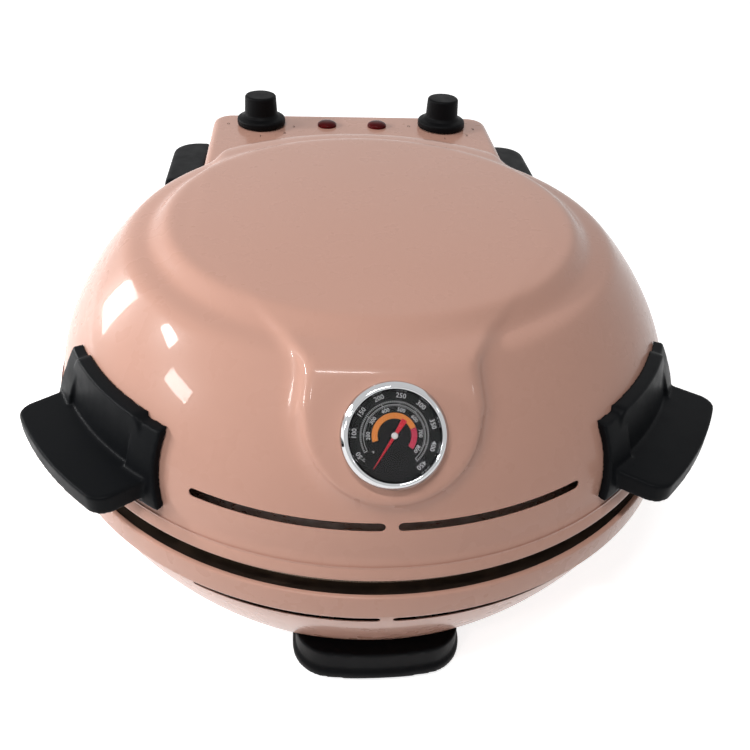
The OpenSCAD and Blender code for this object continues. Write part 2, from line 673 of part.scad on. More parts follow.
module base_shell() color(pink) in_frame() difference() {
    union() {
        difference() {
            turned(base_line);
            turned(concat([[base_r - sheet, base_rim_z + cut],
                [base_r - sheet, band_z + sheet], [step_r - sheet, band_z + sheet]],
                moved(bowl_only, -sheet)));
        }
        rotate_extrude() translate([base_r - lip_w, base_rim_z - sheet])
            square([lip_w - rim_round, sheet]);
    }
    slot_cut(bowl_r(base_rim_z - lower_slot_h), base_rim_z - lower_slot_h, lower_slot_w);
    translate([0, 0, bowl_floor_z - cut]) cylinder(h = 10, r = hole_r);
    at_foot_screws() cylinder(h = 30, r = screw_r + slack);
    at_bracket_screws() translate([0, 0, -10]) cylinder(h = 20, r = screw_r + slack);
    at_cover_screws() translate([0, 0, -cut]) cylinder(h = 6, r = 1.7);
}

// ---- inside the base ----
base_liner_z = base_rim_z - sheet;
stone_r = base_r - stone_inset;
stone_gap = 4;                          // around the stone
ledge_w = 9.5;                          // width of the ledge that carries it
base_liner_r = stone_r + stone_gap;
ledge_z = base_liner_z - 13.2;
ledge_r = base_liner_r - ledge_w;
inner_floor_z = ledge_z - 24;
inner_floor_r = ledge_r - 11;
base_liner_line = [[base_r - sheet - slack, base_liner_z], [base_liner_r, base_liner_z],
    [base_liner_r, ledge_z], [ledge_r, ledge_z],
    [inner_floor_r + 5, inner_floor_z + 4], [inner_floor_r, inner_floor_z], [0, inner_floor_z]];
lower_ring_z = inner_floor_z + lower_ring_h;
module base_liner() color(steel) in_frame() difference() {
    rotate_extrude() polygon(sheet_of(base_liner_line, foil));
    at_legs() translate([0, 0, inner_floor_z - bite]) cylinder(h = 2 * bite, r = insulator_r);
}
module lower_element() color("#5a5856") in_frame()
    heating_ring(lower_ring_z, inner_floor_z - leg_end, lower_ring_z + leg_r);
module lower_clips() color(steel) in_frame() clips(lower_ring_z, inner_floor_z);
module lower_insulators() color("#e8e2d6") in_frame() insulators(inner_floor_z);

ring_gap = 0.4;                         // between the ring and the closed lid
ring_r = base_r - 10;
ring_t = 1.2;
ring_top = liner_z - foil - ring_gap;
window_h = 5;
window_z = base_liner_z + 1.8;
window_sets = 21;
window_turns = [[1.4, 5.4], [6.4, 15.8]];       // a narrow and a wide window
module chamber_ring() color(steel) in_frame() difference() {
    rotate_extrude() translate([ring_r - ring_t, base_liner_z])
        square([ring_t, ring_top - base_liner_z]);
    for (i = [0:window_sets - 1], w = window_turns)
        rotate([0, 0, -90 + i * 360 / window_sets + w[0]])
        rotate_extrude(angle = w[1] - w[0]) translate([ring_r - ring_t - cut, window_z])
        square([ring_t + 2 * cut, window_h]);
}
module baking_stone() color("#d9cdb4") in_frame() rotate_extrude()
    polygon([[0, ledge_z], [stone_r - 1, ledge_z], [stone_r, ledge_z + 1],
        [stone_r, ledge_z + stone_t - 1.5], [stone_r - 1.5, ledge_z + stone_t],
        [0, ledge_z + stone_t]]);

// ---- hinge bracket: a band on the bowl, a shelf and two upright ears ----
module bracket_ear() hull() {
    on_hinge(0) cylinder(h = bracket_t, r = 14, $fn = 32);
    translate([0, hinge_back - ear_front - 6, bracket_top - 10]) cube([bracket_t, 40, 10]);
}
module hinge_bracket() color("#2a2b2d") in_frame() difference() {
    union() {
        rotate([0, 0, 90 - bracket_turn]) rotate_extrude(angle = 2 * bracket_turn)
            polygon([for (p = [[bracket_low, 0], [bracket_top, 0], [bracket_top, 1],
                [bracket_low, 1]]) [bowl_r(p[0]) + slack + p[1] * bracket_t, p[0]]]);
        translate([-ear_x - bracket_t, 100, bracket_top - bracket_t])
            cube([2 * (ear_x + bracket_t), hinge_back - 92, bracket_t]);
        both_sides() translate([ear_x, 0, 0]) bracket_ear();
    }
    bowl_solid(slack);
    both_sides() on_hinge(ear_x - 5) cylinder(h = 15, r = pin_r);
    at_bracket_screws() translate([0, 0, -5]) cylinder(h = 20, r = screw_r);
}
module bracket_screws() color(steel) in_frame() at_bracket_screws() {
    translate([0, 0, -6]) cylinder(h = 10.5, r = screw_r);
    translate([0, 0, bracket_t + slack + 0.9]) cylinder(h = 2.2, r = 3.8);
}
cover_back = hinge_back + 21;
cover_low = bracket_top - 14;
cover_edge = 3;
// a cover ends just behind the base's rim
cover_front = max(cover_back - cover_l, sqrt(pow(base_r + 3, 2) - pow(cover_x, 2)));
module cover_outline(d) intersection() {
    w = cover_w - d;
    r = cover_corner - d;
    union() {
        translate([cover_x, cover_front + d]) square([w, cover_back - cover_front - 2 * d - r]);
        translate([cover_x, cover_back - d - r - 1]) square([w - r, r + 1]);
        translate([cover_x + w - r, cover_back - d - r]) circle(r);
    }
    translate([cover_x, cover_front]) square([cover_w, cover_back - cover_front]);
}
module hinge_cover() difference() {
    union() {
        translate([0, 0, cover_low]) linear_extrude(hinge_z + cover_up - cover_edge - cover_low)
            cover_outline(0);
        hull() for (a = [0, 30, 60, 90])
            translate([0, 0, hinge_z + cover_up - cover_edge * (1 - sin(a)) - 0.01])
            linear_extrude(0.01) cover_outline(cover_edge * (1 - cos(a)), $fn = 32);
    }
    on_hinge(cover_x - cut) cylinder(h = pin_end - cover_x + cut, r = pin_r);
}
module hinge_cover_left() color(black) in_frame() mirror([1, 0, 0]) hinge_cover();
module hinge_cover_right() color(black) in_frame() hinge_cover();

// ---- feet ----
foot_r = bowl_floor_r + foot_out;
foot_deep = 46;                         // from a foot's outside to its inner edge
foot_top = bowl_floor_z + 9;
foot_corner = 20;
lip_out = 1.6;
module foot_outline(d) rotate(-90)
    arc_plate(foot_w - 2 * d, foot_r - d, foot_corner - d, foot_r - foot_deep);
rubber_x = 26;
rubber_y = -(foot_r - 12);
module feet() color(black) in_frame() difference() {
    at_feet() {
        translate([0, 0, pad_h - 0.5]) linear_extrude(foot_top - pad_h + 0.5)
            foot_outline(lip_out);
        translate([0, 0, pad_h - 0.5]) linear_extrude(5) foot_outline(0);
    }
    bowl_solid(0);
    at_feet() for (x = [-1, 1] * rubber_x) translate([x, rubber_y, 0])
        cylinder(h = pad_h + 1, r = pad_rubber_r);
    at_foot_screws() { cylinder(h = 5, r = 4.2); cylinder(h = 30, r = screw_r); }
}
module foot_pads() color("#3a3a3c") in_frame() at_feet() for (x = [-1, 1] * rubber_x)
    translate([x, rubber_y, 0]) cylinder(h = pad_h + 1, r = pad_rubber_r);
module foot_screws() color(steel) in_frame() at_foot_screws() {
    translate([0, 0, pad_h]) cylinder(h = 2, r = 3.8);
    translate([0, 0, pad_h]) cylinder(h = bowl_floor_z - pad_h + 7, r = screw_r);
}

module bottom_cover() color("#5c5e60") in_frame() difference() {
    translate([0, 0, bowl_floor_z - sheet]) cylinder(h = sheet, r = cover_plate_r);
    for (i = [0:11]) rotate([0, 0, i * 30]) translate([52, -2, 0]) cube([28, 4, 20]);
    at_cover_screws() translate([0, 0, -5]) cylinder(h = 10, r = 1.7);
}
module bottom_cover_screws() color(steel) in_frame() at_cover_screws() {
    translate([0, 0, -sheet - 1.6]) cylinder(h = 1.6, r = 3);
    translate([0, 0, -sheet]) cylinder(h = sheet + 5, r = 1.7);
}

lid_shell();
lid_liner();
upper_element();
upper_clips();
upper_insulators();
thermometer_case();
thermometer_dial();
thermometer_needle();
thermometer_lens();
thermometer_bezel();
thermometer_nut();
handle_left();
handle_right();
handle_screws();
box_floor();
box_floor_screws();
thermostat_left();
thermostat_right();
thermostat_nuts();
shaft_left();
shaft_right();
knob_left();
knob_right();
lamp_lenses();
lamp_holders();
terminal_block();
cord_gland();
hinge_bushes();
base_shell();
base_liner();
chamber_ring();
lower_element();
lower_clips();
lower_insulators();
baking_stone();
hinge_bracket();
bracket_screws();
hinge_pins();
hinge_clips();
hinge_cover_left();
hinge_cover_right();
feet();
foot_pads();
foot_screws();
bottom_cover();
bottom_cover_screws();
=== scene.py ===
import math

import bmesh
import bpy
import numpy as np
from mathutils import Matrix, Vector


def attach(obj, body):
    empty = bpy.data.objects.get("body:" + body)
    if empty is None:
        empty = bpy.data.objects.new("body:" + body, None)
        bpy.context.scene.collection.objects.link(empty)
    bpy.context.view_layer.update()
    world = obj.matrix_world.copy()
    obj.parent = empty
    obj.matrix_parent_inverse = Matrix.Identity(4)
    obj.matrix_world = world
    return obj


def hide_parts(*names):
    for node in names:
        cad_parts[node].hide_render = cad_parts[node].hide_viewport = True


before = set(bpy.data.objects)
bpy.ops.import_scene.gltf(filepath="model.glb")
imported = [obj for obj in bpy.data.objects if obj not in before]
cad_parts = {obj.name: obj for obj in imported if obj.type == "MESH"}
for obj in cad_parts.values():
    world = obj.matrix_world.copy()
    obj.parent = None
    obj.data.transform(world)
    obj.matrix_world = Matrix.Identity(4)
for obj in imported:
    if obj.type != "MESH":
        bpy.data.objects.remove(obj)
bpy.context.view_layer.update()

ovenAxisY = -26.5   # the oven's upright axis in the frame, in mm
print("stage: frame loaded")


# Helpers. Shapes are worked out in mm with the oven's axis at 0, 0.

def toFrame(points):
    p = np.array(points, float)
    p[:, 1] += ovenAxisY
    return p * 0.001


def spotOf(x, y, z):
    return x / 1000, (y + ovenAxisY) / 1000, z / 1000


def meshOf(name, points, faces, material, sharp=38, inMm=True):
    mesh = bpy.data.meshes.new(name)
    mesh.from_pydata((toFrame(points) if inMm else np.array(points)).tolist(), [], [list(f) for f in faces])
    bm = bmesh.new()
    bm.from_mesh(mesh)
    bmesh.ops.remove_doubles(bm, verts=bm.verts, dist=1e-6)
    bmesh.ops.dissolve_degenerate(bm, edges=bm.edges, dist=1e-7)
    bmesh.ops.recalc_face_normals(bm, faces=bm.faces)
    bm.to_mesh(mesh)
    bm.free()
    mesh.materials.append(material)
    mesh.shade_smooth()
    mesh.set_sharp_from_angle(angle=math.radians(sharp))
    obj = bpy.data.objects.new(name, mesh)
    bpy.context.scene.collection.objects.link(obj)
    return obj


def place(obj, body, slotName, *nodes):
    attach(obj, body)
    if nodes:
        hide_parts(*nodes)
    return obj


def rounded(points, radii, steps=5):
    # an outline with an arc of the given radius at each corner
    out = []
    n = len(points)
    for i in range(n):
        r = radii[i]
        if i in (0, n - 1) or r <= 0:
            out.append(tuple(points[i]))
            continue
        p, a, b = (np.array(points[k], float) for k in (i, i - 1, i + 1))
        u, v = (a - p) / np.linalg.norm(a - p), (b - p) / np.linalg.norm(b - p)
        half = math.acos(max(-1, min(1, float(u @ v)))) / 2
        reach = min(r / math.tan(half), 0.49 * np.linalg.norm(a - p), 0.49 * np.linalg.norm(b - p))
        for k in range(steps + 1):
            t = k / steps
            q = (1 - t) ** 2 * (p + u * reach) + 2 * t * (1 - t) * p + t * t * (p + v * reach)
            out.append((float(q[0]), float(q[1])))
    return out


def turned(outline, segments):
    # rings of points about the z axis, and the faces between them
    angles = np.linspace(0, 2 * math.pi, segments, endpoint=False)
    points = [(r * math.cos(a), r * math.sin(a), z) for r, z in outline for a in angles]
    faces = []
    for j in range(len(outline) - 1):
        for i in range(segments):
            k = (i + 1) % segments
            faces.append((j * segments + i, j * segments + k, (j + 1) * segments + k, (j + 1) * segments + i))
    return np.array(points), faces


def smoothMin(a, b, k):
    h = np.maximum(k - np.abs(a - b), 0) / k
    return np.minimum(a, b) - h * h * k * 0.25


def smoothMax(a, b, k):
    return -smoothMin(-a, -b, k)


def gaussSmooth(values, sigma):
    # smooths a row of samples, holding its two ends
    n = int(sigma * 3) + 1
    w = np.exp(-0.5 * (np.arange(-n, n + 1) / sigma) ** 2)
    w /= w.sum()
    head = 2 * values[0] - values[n:0:-1]
    tail = 2 * values[-1] - values[-2:-n - 2:-1]
    return np.convolve(np.concatenate([head, values, tail]), w, "valid")


def openHole(points, faces, centre, axis, radius, depth):
    # takes out the faces round a bore and draws their edge to a true circle
    axis = np.array(axis, float)
    rel = points - np.array(centre, float)
    along = rel @ axis
    across = rel - along[:, None] * axis
    rho = np.linalg.norm(across, axis=1)
    near = np.abs(along) < depth
    inside = near & (rho < radius)
    kept = [f for f in faces if not any(inside[i] for i in f)]
    gone = [f for f in faces if any(inside[i] for i in f)]
    used = np.zeros(len(points), bool)
    for f in kept:
        used[list(f)] = True
    edge = {i for f in gone for i in f if used[i]}
    for i in edge:
        points[i] += across[i] * (radius / rho[i] - 1)
    return points, kept


# Camera, at the photograph's angle

cameraView = {"place": (-35.3, -408.3, 377.0), "azimuth": -5.8, "pitch": 36.0, "roll": 2.9, "lens": 40.8}


def makeCamera(v):
    az, pitch, roll = (math.radians(v[k]) for k in ("azimuth", "pitch", "roll"))
    forward = Vector((math.sin(-az) * math.cos(pitch), math.cos(az) * math.cos(pitch), -math.sin(pitch)))
    right = forward.cross(Vector((0, 0, 1))).normalized()
    up = right.cross(forward)
    right, up = math.cos(roll) * right + math.sin(roll) * up, -math.sin(roll) * right + math.cos(roll) * up
    data = bpy.data.cameras.new("camera")
    data.lens = v["lens"]
    data.sensor_width = 36
    data.clip_start = 0.01
    cam = bpy.data.objects.new("camera", data)
    bpy.context.scene.collection.objects.link(cam)
    turn = Matrix((right, up, -forward)).transposed()
    cam.matrix_world = Matrix.Translation(spotOf(*v["place"])) @ turn.to_4x4()
    bpy.context.scene.camera = cam


makeCamera(cameraView)
print("stage: camera")


# Finishes

def socketed(mat, **values):
    shader = mat.node_tree.nodes["Principled BSDF"]
    for key, value in values.items():
        shader.inputs[key.replace("_", " ")].default_value = value
    return shader


def finish(name, color, roughness, metallic=0.0, **values):
    mat = bpy.data.materials.new(name)
    mat.use_nodes = True
    socketed(mat, Roughness=roughness, Metallic=metallic, **values)
    mat.node_tree.nodes["Principled BSDF"].inputs["Base Color"].default_value = (*color, 1)
    mat.diffuse_color = (*color, 1)
    return mat


def coordinates(mat, scale=(1, 1, 1)):
    nodes, links = mat.node_tree.nodes, mat.node_tree.links
    source = nodes.new("ShaderNodeTexCoord")
    mapping = nodes.new("ShaderNodeMapping")
    mapping.inputs["Scale"].default_value = scale
    links.new(source.outputs["Object"], mapping.inputs["Vector"])
    return mapping.outputs["Vector"]


def noiseOn(mat, vector, scale, detail=3.0, roughness=0.5):
    node = mat.node_tree.nodes.new("ShaderNodeTexNoise")
    node.inputs["Scale"].default_value = scale
    node.inputs["Detail"].default_value = detail
    node.inputs["Roughness"].default_value = roughness
    mat.node_tree.links.new(vector, node.inputs["Vector"])
    return node.outputs["Fac"]


def ranged(mat, value, low, high, fromLow=0.3, fromHigh=0.7):
    node = mat.node_tree.nodes.new("ShaderNodeMapRange")
    for key, v in (("From Min", fromLow), ("From Max", fromHigh), ("To Min", low), ("To Max", high)):
        node.inputs[key].default_value = v
    mat.node_tree.links.new(value, node.inputs["Value"])
    return node.outputs["Result"]


def toned(mat, value, colorA, colorB):
    node = mat.node_tree.nodes.new("ShaderNodeMix")
    node.data_type = "RGBA"
    for s in node.inputs:
        if s.type == "RGBA":
            s.default_value = (*(colorA if s.name == "A" else colorB), 1)
    links = mat.node_tree.links
    links.new(value, node.inputs["Factor"])
    out = [s for s in node.outputs if s.type == "RGBA"][0]
    links.new(out, mat.node_tree.nodes["Principled BSDF"].inputs["Base Color"])


def bumped(mat, value, strength, distance, into="Normal"):
    node = mat.node_tree.nodes.new("ShaderNodeBump")
    node.inputs["Strength"].default_value = strength
    node.inputs["Distance"].default_value = distance
    mat.node_tree.links.new(value, node.inputs["Height"])
    mat.node_tree.links.new(node.outputs["Normal"], mat.node_tree.nodes["Principled BSDF"].inputs[into])


def roughened(mat, value):
    mat.node_tree.links.new(value, mat.node_tree.nodes["Principled BSDF"].inputs["Roughness"])


def makeEnamel():
    mat = finish("pinkEnamel", (0.6, 0.335, 0.258), 0.3, Specular_IOR_Level=0.1, Coat_Weight=0.3,
                 Coat_Roughness=0.035, Coat_IOR=1.4)
    v = coordinates(mat)
    toned(mat, ranged(mat, noiseOn(mat, v, 9, 2), 0, 1), (0.593, 0.33, 0.253), (0.607, 0.34, 0.263))
    roughened(mat, ranged(mat, noiseOn(mat, v, 60), 0.26, 0.3))
    bumped(mat, noiseOn(mat, v, 95, 1.5), 0.004, 0.0006, "Coat Normal")
    return mat


def makeGrainPlastic(name, color, rough, grain):
    mat = finish(name, color, rough, Specular_IOR_Level=0.05)
    v = coordinates(mat)
    roughened(mat, ranged(mat, noiseOn(mat, v, 120), rough - 0.05, rough + 0.07))
    toned(mat, noiseOn(mat, v, 25, 2), tuple(c * 0.86 for c in color), tuple(c * 1.12 for c in color))
    bumped(mat, noiseOn(mat, v, 2600, 2), grain, 0.00012)
    return mat


def makeBrushed(name, color, rough, stretch, metallic=1.0):
    mat = finish(name, color, rough, metallic)
    v = coordinates(mat, stretch)
    lines = noiseOn(mat, v, 1.0, 4, 0.65)
    roughened(mat, ranged(mat, lines, rough - 0.07, rough + 0.12))
    toned(mat, ranged(mat, lines, 0, 1), tuple(c * 0.86 for c in color), color)
    bumped(mat, lines, 0.12, 0.0001)
    return mat


def makeRingSteel():
    # brushed upright all round the oven's axis
    mat = finish("ringSteel", (0.5, 0.39, 0.29), 0.45, 0.2)
    nodes, links = mat.node_tree.nodes, mat.node_tree.links
    parts = nodes.new("ShaderNodeSeparateXYZ")
    links.new(coordinates(mat), parts.inputs[0])
    shift = nodes.new("ShaderNodeMath")
    shift.inputs[1].default_value = -ovenAxisY / 1000
    links.new(parts.outputs["Y"], shift.inputs[0])
    angle = nodes.new("ShaderNodeMath")
    angle.operation = "ARCTAN2"
    links.new(shift.outputs[0], angle.inputs[0])
    links.new(parts.outputs["X"], angle.inputs[1])
    joined = nodes.new("ShaderNodeCombineXYZ")
    links.new(angle.outputs[0], joined.inputs["X"])
    spread = nodes.new("ShaderNodeMath")
    spread.operation = "MULTIPLY"
    spread.inputs[1].default_value = 0.25
    links.new(parts.outputs["Z"], spread.inputs[0])
    links.new(spread.outputs[0], joined.inputs["Y"])
    lines = noiseOn(mat, joined.outputs[0], 420, 3, 0.7)
    roughened(mat, ranged(mat, lines, 0.26, 0.46))
    toned(mat, ranged(mat, lines, 0, 1), (0.22, 0.16, 0.11), (0.82, 0.67, 0.52))
    bumped(mat, lines, 0.2, 0.0001)
    return mat


def makeStone():
    mat = finish("bakingStone", (0.62, 0.54, 0.42), 0.9, Specular_IOR_Level=0.25)
    v = coordinates(mat)
    toned(mat, ranged(mat, noiseOn(mat, v, 160, 5, 0.75), 0, 1, 0.35, 0.65), (0.5, 0.42, 0.31),
          (0.68, 0.6, 0.47))
    bumped(mat, noiseOn(mat, v, 900, 4, 0.7), 0.5, 0.0003)
    return mat


def makeCeramic():
    mat = finish("ceramic", (0.8, 0.77, 0.7), 0.45)
    v = coordinates(mat)
    toned(mat, noiseOn(mat, v, 200), (0.74, 0.7, 0.62), (0.84, 0.81, 0.75))
    bumped(mat, noiseOn(mat, v, 1500), 0.2, 0.0001)
    return mat


def makeElement():
    mat = finish("elementTube", (0.13, 0.12, 0.115), 0.5, 0.9)
    v = coordinates(mat)
    toned(mat, ranged(mat, noiseOn(mat, v, 45, 4), 0, 1), (0.09, 0.075, 0.07), (0.2, 0.18, 0.165))
    roughened(mat, ranged(mat, noiseOn(mat, v, 300), 0.4, 0.62))
    bumped(mat, noiseOn(mat, v, 1200), 0.15, 0.0001)
    return mat


def makeBrass():
    mat = finish("bushBrass", (0.52, 0.36, 0.13), 0.3, 1.0)
    v = coordinates(mat)
    toned(mat, noiseOn(mat, v, 300), (0.44, 0.29, 0.1), (0.58, 0.41, 0.17))
    roughened(mat, ranged(mat, noiseOn(mat, v, 700), 0.24, 0.4))
    return mat


def makeChrome():
    mat = finish("brightChrome", (0.5, 0.505, 0.515), 0.06, 1.0)
    v = coordinates(mat)
    roughened(mat, ranged(mat, noiseOn(mat, v, 500, 2), 0.05, 0.11))
    return mat


def makeGlass():
    mat = finish("clearGlass", (1, 1, 1), 0.01, Transmission_Weight=1.0, IOR=1.18)
    v = coordinates(mat)
    roughened(mat, ranged(mat, noiseOn(mat, v, 80), 0.0, 0.004))
    return mat


def makeLampRed():
    mat = finish("lampRed", (0.07, 0.0015, 0.001), 0.2, Specular_IOR_Level=0.05, Coat_Weight=0.03,
                 Coat_Roughness=0.05)
    v = coordinates(mat)
    toned(mat, noiseOn(mat, v, 260, 1), (0.05, 0.0015, 0.002), (0.1, 0.003, 0.004))
    roughened(mat, ranged(mat, noiseOn(mat, v, 400), 0.08, 0.16))
    return mat


def makePrint(name, color):
    mat = finish(name, color, 0.55, Specular_IOR_Level=0.12)
    roughened(mat, ranged(mat, noiseOn(mat, coordinates(mat), 1500), 0.48, 0.62))
    return mat


enamel = makeEnamel()
blackPlastic = makeGrainPlastic("blackPlastic", (0.0036, 0.0041, 0.005), 0.4, 0.2)
knobPlastic = makeGrainPlastic("knobPlastic", (0.0035, 0.0035, 0.004), 0.48, 0.3)
footPlastic = makeGrainPlastic("footPlastic", (0.0032, 0.0034, 0.004), 0.42, 0.25)
rubber = makeGrainPlastic("blackRubber", (0.02, 0.02, 0.021), 0.75, 0.5)
bracketPaint = makeGrainPlastic("bracketPaint", (0.018, 0.018, 0.02), 0.5, 0.4)
switchBody = makeGrainPlastic("switchBody", (0.2, 0.18, 0.15), 0.55, 0.3)
plainSteel = makeBrushed("plainSteel", (0.6, 0.6, 0.59), 0.34, (900, 900, 60))
coverSteel = makeBrushed("coverSteel", (0.42, 0.43, 0.44), 0.42, (40, 1200, 300))
# the pan under the stone: steel coloured very dark as painted shade, standing in for the shaded depth seen
# through the gap under the lid
panSteelPaintedShade = makeBrushed("panSteelPaintedShade", (0.07, 0.052, 0.042), 0.42, (25, 700, 700))
reflector = makeBrushed("reflector", (0.7, 0.7, 0.69), 0.3, (25, 700, 700))
ringSteel = makeRingSteel()
stone = makeStone()
ceramic = makeCeramic()
element = makeElement()
brass = makeBrass()
chrome = makeChrome()
glass = makeGlass()
lampRed = makeLampRed()
dialBlack = makePrint("dialBlack", (0.0035, 0.0036, 0.0042))
printWhite = makePrint("printWhite", (0.5, 0.51, 0.52))
printOrange = makePrint("printOrange", (0.52, 0.17, 0.035))
printRed = makePrint("printRed", (0.36, 0.03, 0.06))
needleRed = makePrint("needleRed", (0.38, 0.015, 0.028))
markBrown = makePrint("markBrown", (0.045, 0.02, 0.015))

nodeFinish = {
    "lid_liner": reflector, "upper_element": element, "upper_clips": plainSteel, "upper_insulators": ceramic,
    "thermometer_case": plainSteel, "thermometer_nut": plainSteel, "box_floor": coverSteel,
    "thermostat_left": switchBody, "thermostat_right": switchBody, "thermostat_nuts": plainSteel,
    "shaft_left": plainSteel, "shaft_right": plainSteel, "lamp_holders": ceramic, "terminal_block": ceramic,
    # the base liner takes the steel darkened as painted shade
    "hinge_bushes": brass, "base_liner": panSteelPaintedShade, "chamber_ring": ringSteel, "lower_element": element,
    "lower_clips": plainSteel, "lower_insulators": ceramic, "baking_stone": stone,
    "hinge_bracket": bracketPaint, "hinge_pins": plainSteel, "hinge_clips": plainSteel,
    "foot_pads": rubber, "bottom_cover": coverSteel,
    "thermometer_dial": dialBlack, "handle_screws": plainSteel, "bracket_screws": plainSteel,
    "foot_screws": plainSteel,
}
for nodeName, mat in nodeFinish.items():
    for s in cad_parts[nodeName].material_slots:
        s.material = mat
print("stage: finishes")


# Lid: dome, raised keyhole panel and control box pressed in one sheet

lidSizes = {
    "rimRadius": 170, "rimHeight": 94, "creaseRadius": 166, "creaseHeight": 104.5,
    "domeRise": 121, "domeFullness": 1.6, "shoulderHeight": 173.5,
    "plateauRadius": 105, "plateauHeight": 185, "crown": 1.1, "sheet": 0.5,
    "outlineSmooth": 4.6,
    "slotHeight": 119.5, "slotWidth": 3.9, "slotNear": 1.6, "slotFar": 31,
    "padCentre": (0, -147.503, 156.5), "padTilt": 36, "padRadius": 36, "padUp": 8,
    "padStands": 7.6, "neckStands": 5.5, "standsAt": (12, 44), "terraceHeight": 177.6,
    "neckFrom": 14, "neckAt": (14, 24, 34, 46, 62, 90), "neckHalf": (33.2, 33.6, 36, 44, 53.5, 84),
    "boxHalfWidth": 100, "boxFront": 60, "boxBack": 218, "panelHeight": 160, "boxCorner": 14, "boxEdge": 5,
    "edgeBlend": 3, "topBlend": 4, "neckBlend": 8, "padBlend": 10, "boxBlend": 7,
    "knobHole": (65, 196, 160), "knobHoleRadius": 8,
    "hingeHole": (100, 192, 118), "hingeHoleRadius": 7.6, "holeDepth": 3,
}


def lidOutline(s):
    # the dome's outline from its rim to its middle, every half millimetre
    crease, rise = s["creaseHeight"], s["domeRise"]
    dome = [(s["creaseRadius"] * math.sqrt(1 - ((z - crease) / rise) ** s["domeFullness"]), z)
            for z in np.linspace(crease, s["shoulderHeight"], 60)]
    r, z = dome[-1]
    top, up = s["plateauRadius"], s["plateauHeight"]
    rough = [(s["rimRadius"], s["rimHeight"]), (169.4, 97.6), (167.2, 101.6)] + dome
    rough += [(r - 1.9, z + 1.6), (r - 4.6, z + 2.7), (r - 9, z + 3.4), (top + 8.6, up - 7.6),
              (top + 4.2, up - 3.5), (top + 0.6, up - 0.35)]
    rough += [(top * t, up + s["crown"] * (1 - t * t)) for t in np.linspace(0.985, 0, 30)]
    p = np.array(rough)
    d = np.concatenate([[0], np.cumsum(np.linalg.norm(np.diff(p, axis=0), axis=1))])
    at = np.linspace(0, d[-1], int(d[-1] * 2))
    line = np.stack([np.interp(at, d, p[:, 0]), np.interp(at, d, p[:, 1])], 1)
    soft = s["outlineSmooth"]
    return np.stack([gaussSmooth(line[:, 0], soft), gaussSmooth(line[:, 1], soft)], 1)


def lidColumns():
    # angles from the front, closer together at the slots' ends and on the box
    return np.concatenate([[0, 1.6], np.linspace(2.7, 29.9, 34), [31, 32.1], np.linspace(33.2, 137, 88),
                           np.linspace(137.6, 161, 66), np.linspace(162, 180, 17)])


slotTurn = np.radians([-90, -50, -17, 17, 50, 90])   # the rows of points across a slot, by its round end


def slotEnds(degrees, s):
    return [int(np.argmin(np.abs(degrees - s[k]))) for k in ("slotNear", "slotFar")]


def roundSlotEnds(half, slotAt, degrees, s, turns):
    # a slot's rows step past its two end columns
    w = s["slotWidth"] / 2
    for i, way in zip(slotEnds(degrees, s), (-1, 1)):
        for k, a in enumerate(turns):
            j = slotAt + k
            half[i, j, 2] = math.radians(degrees[i]) + way * w * math.cos(a) / half[i, j, 0]


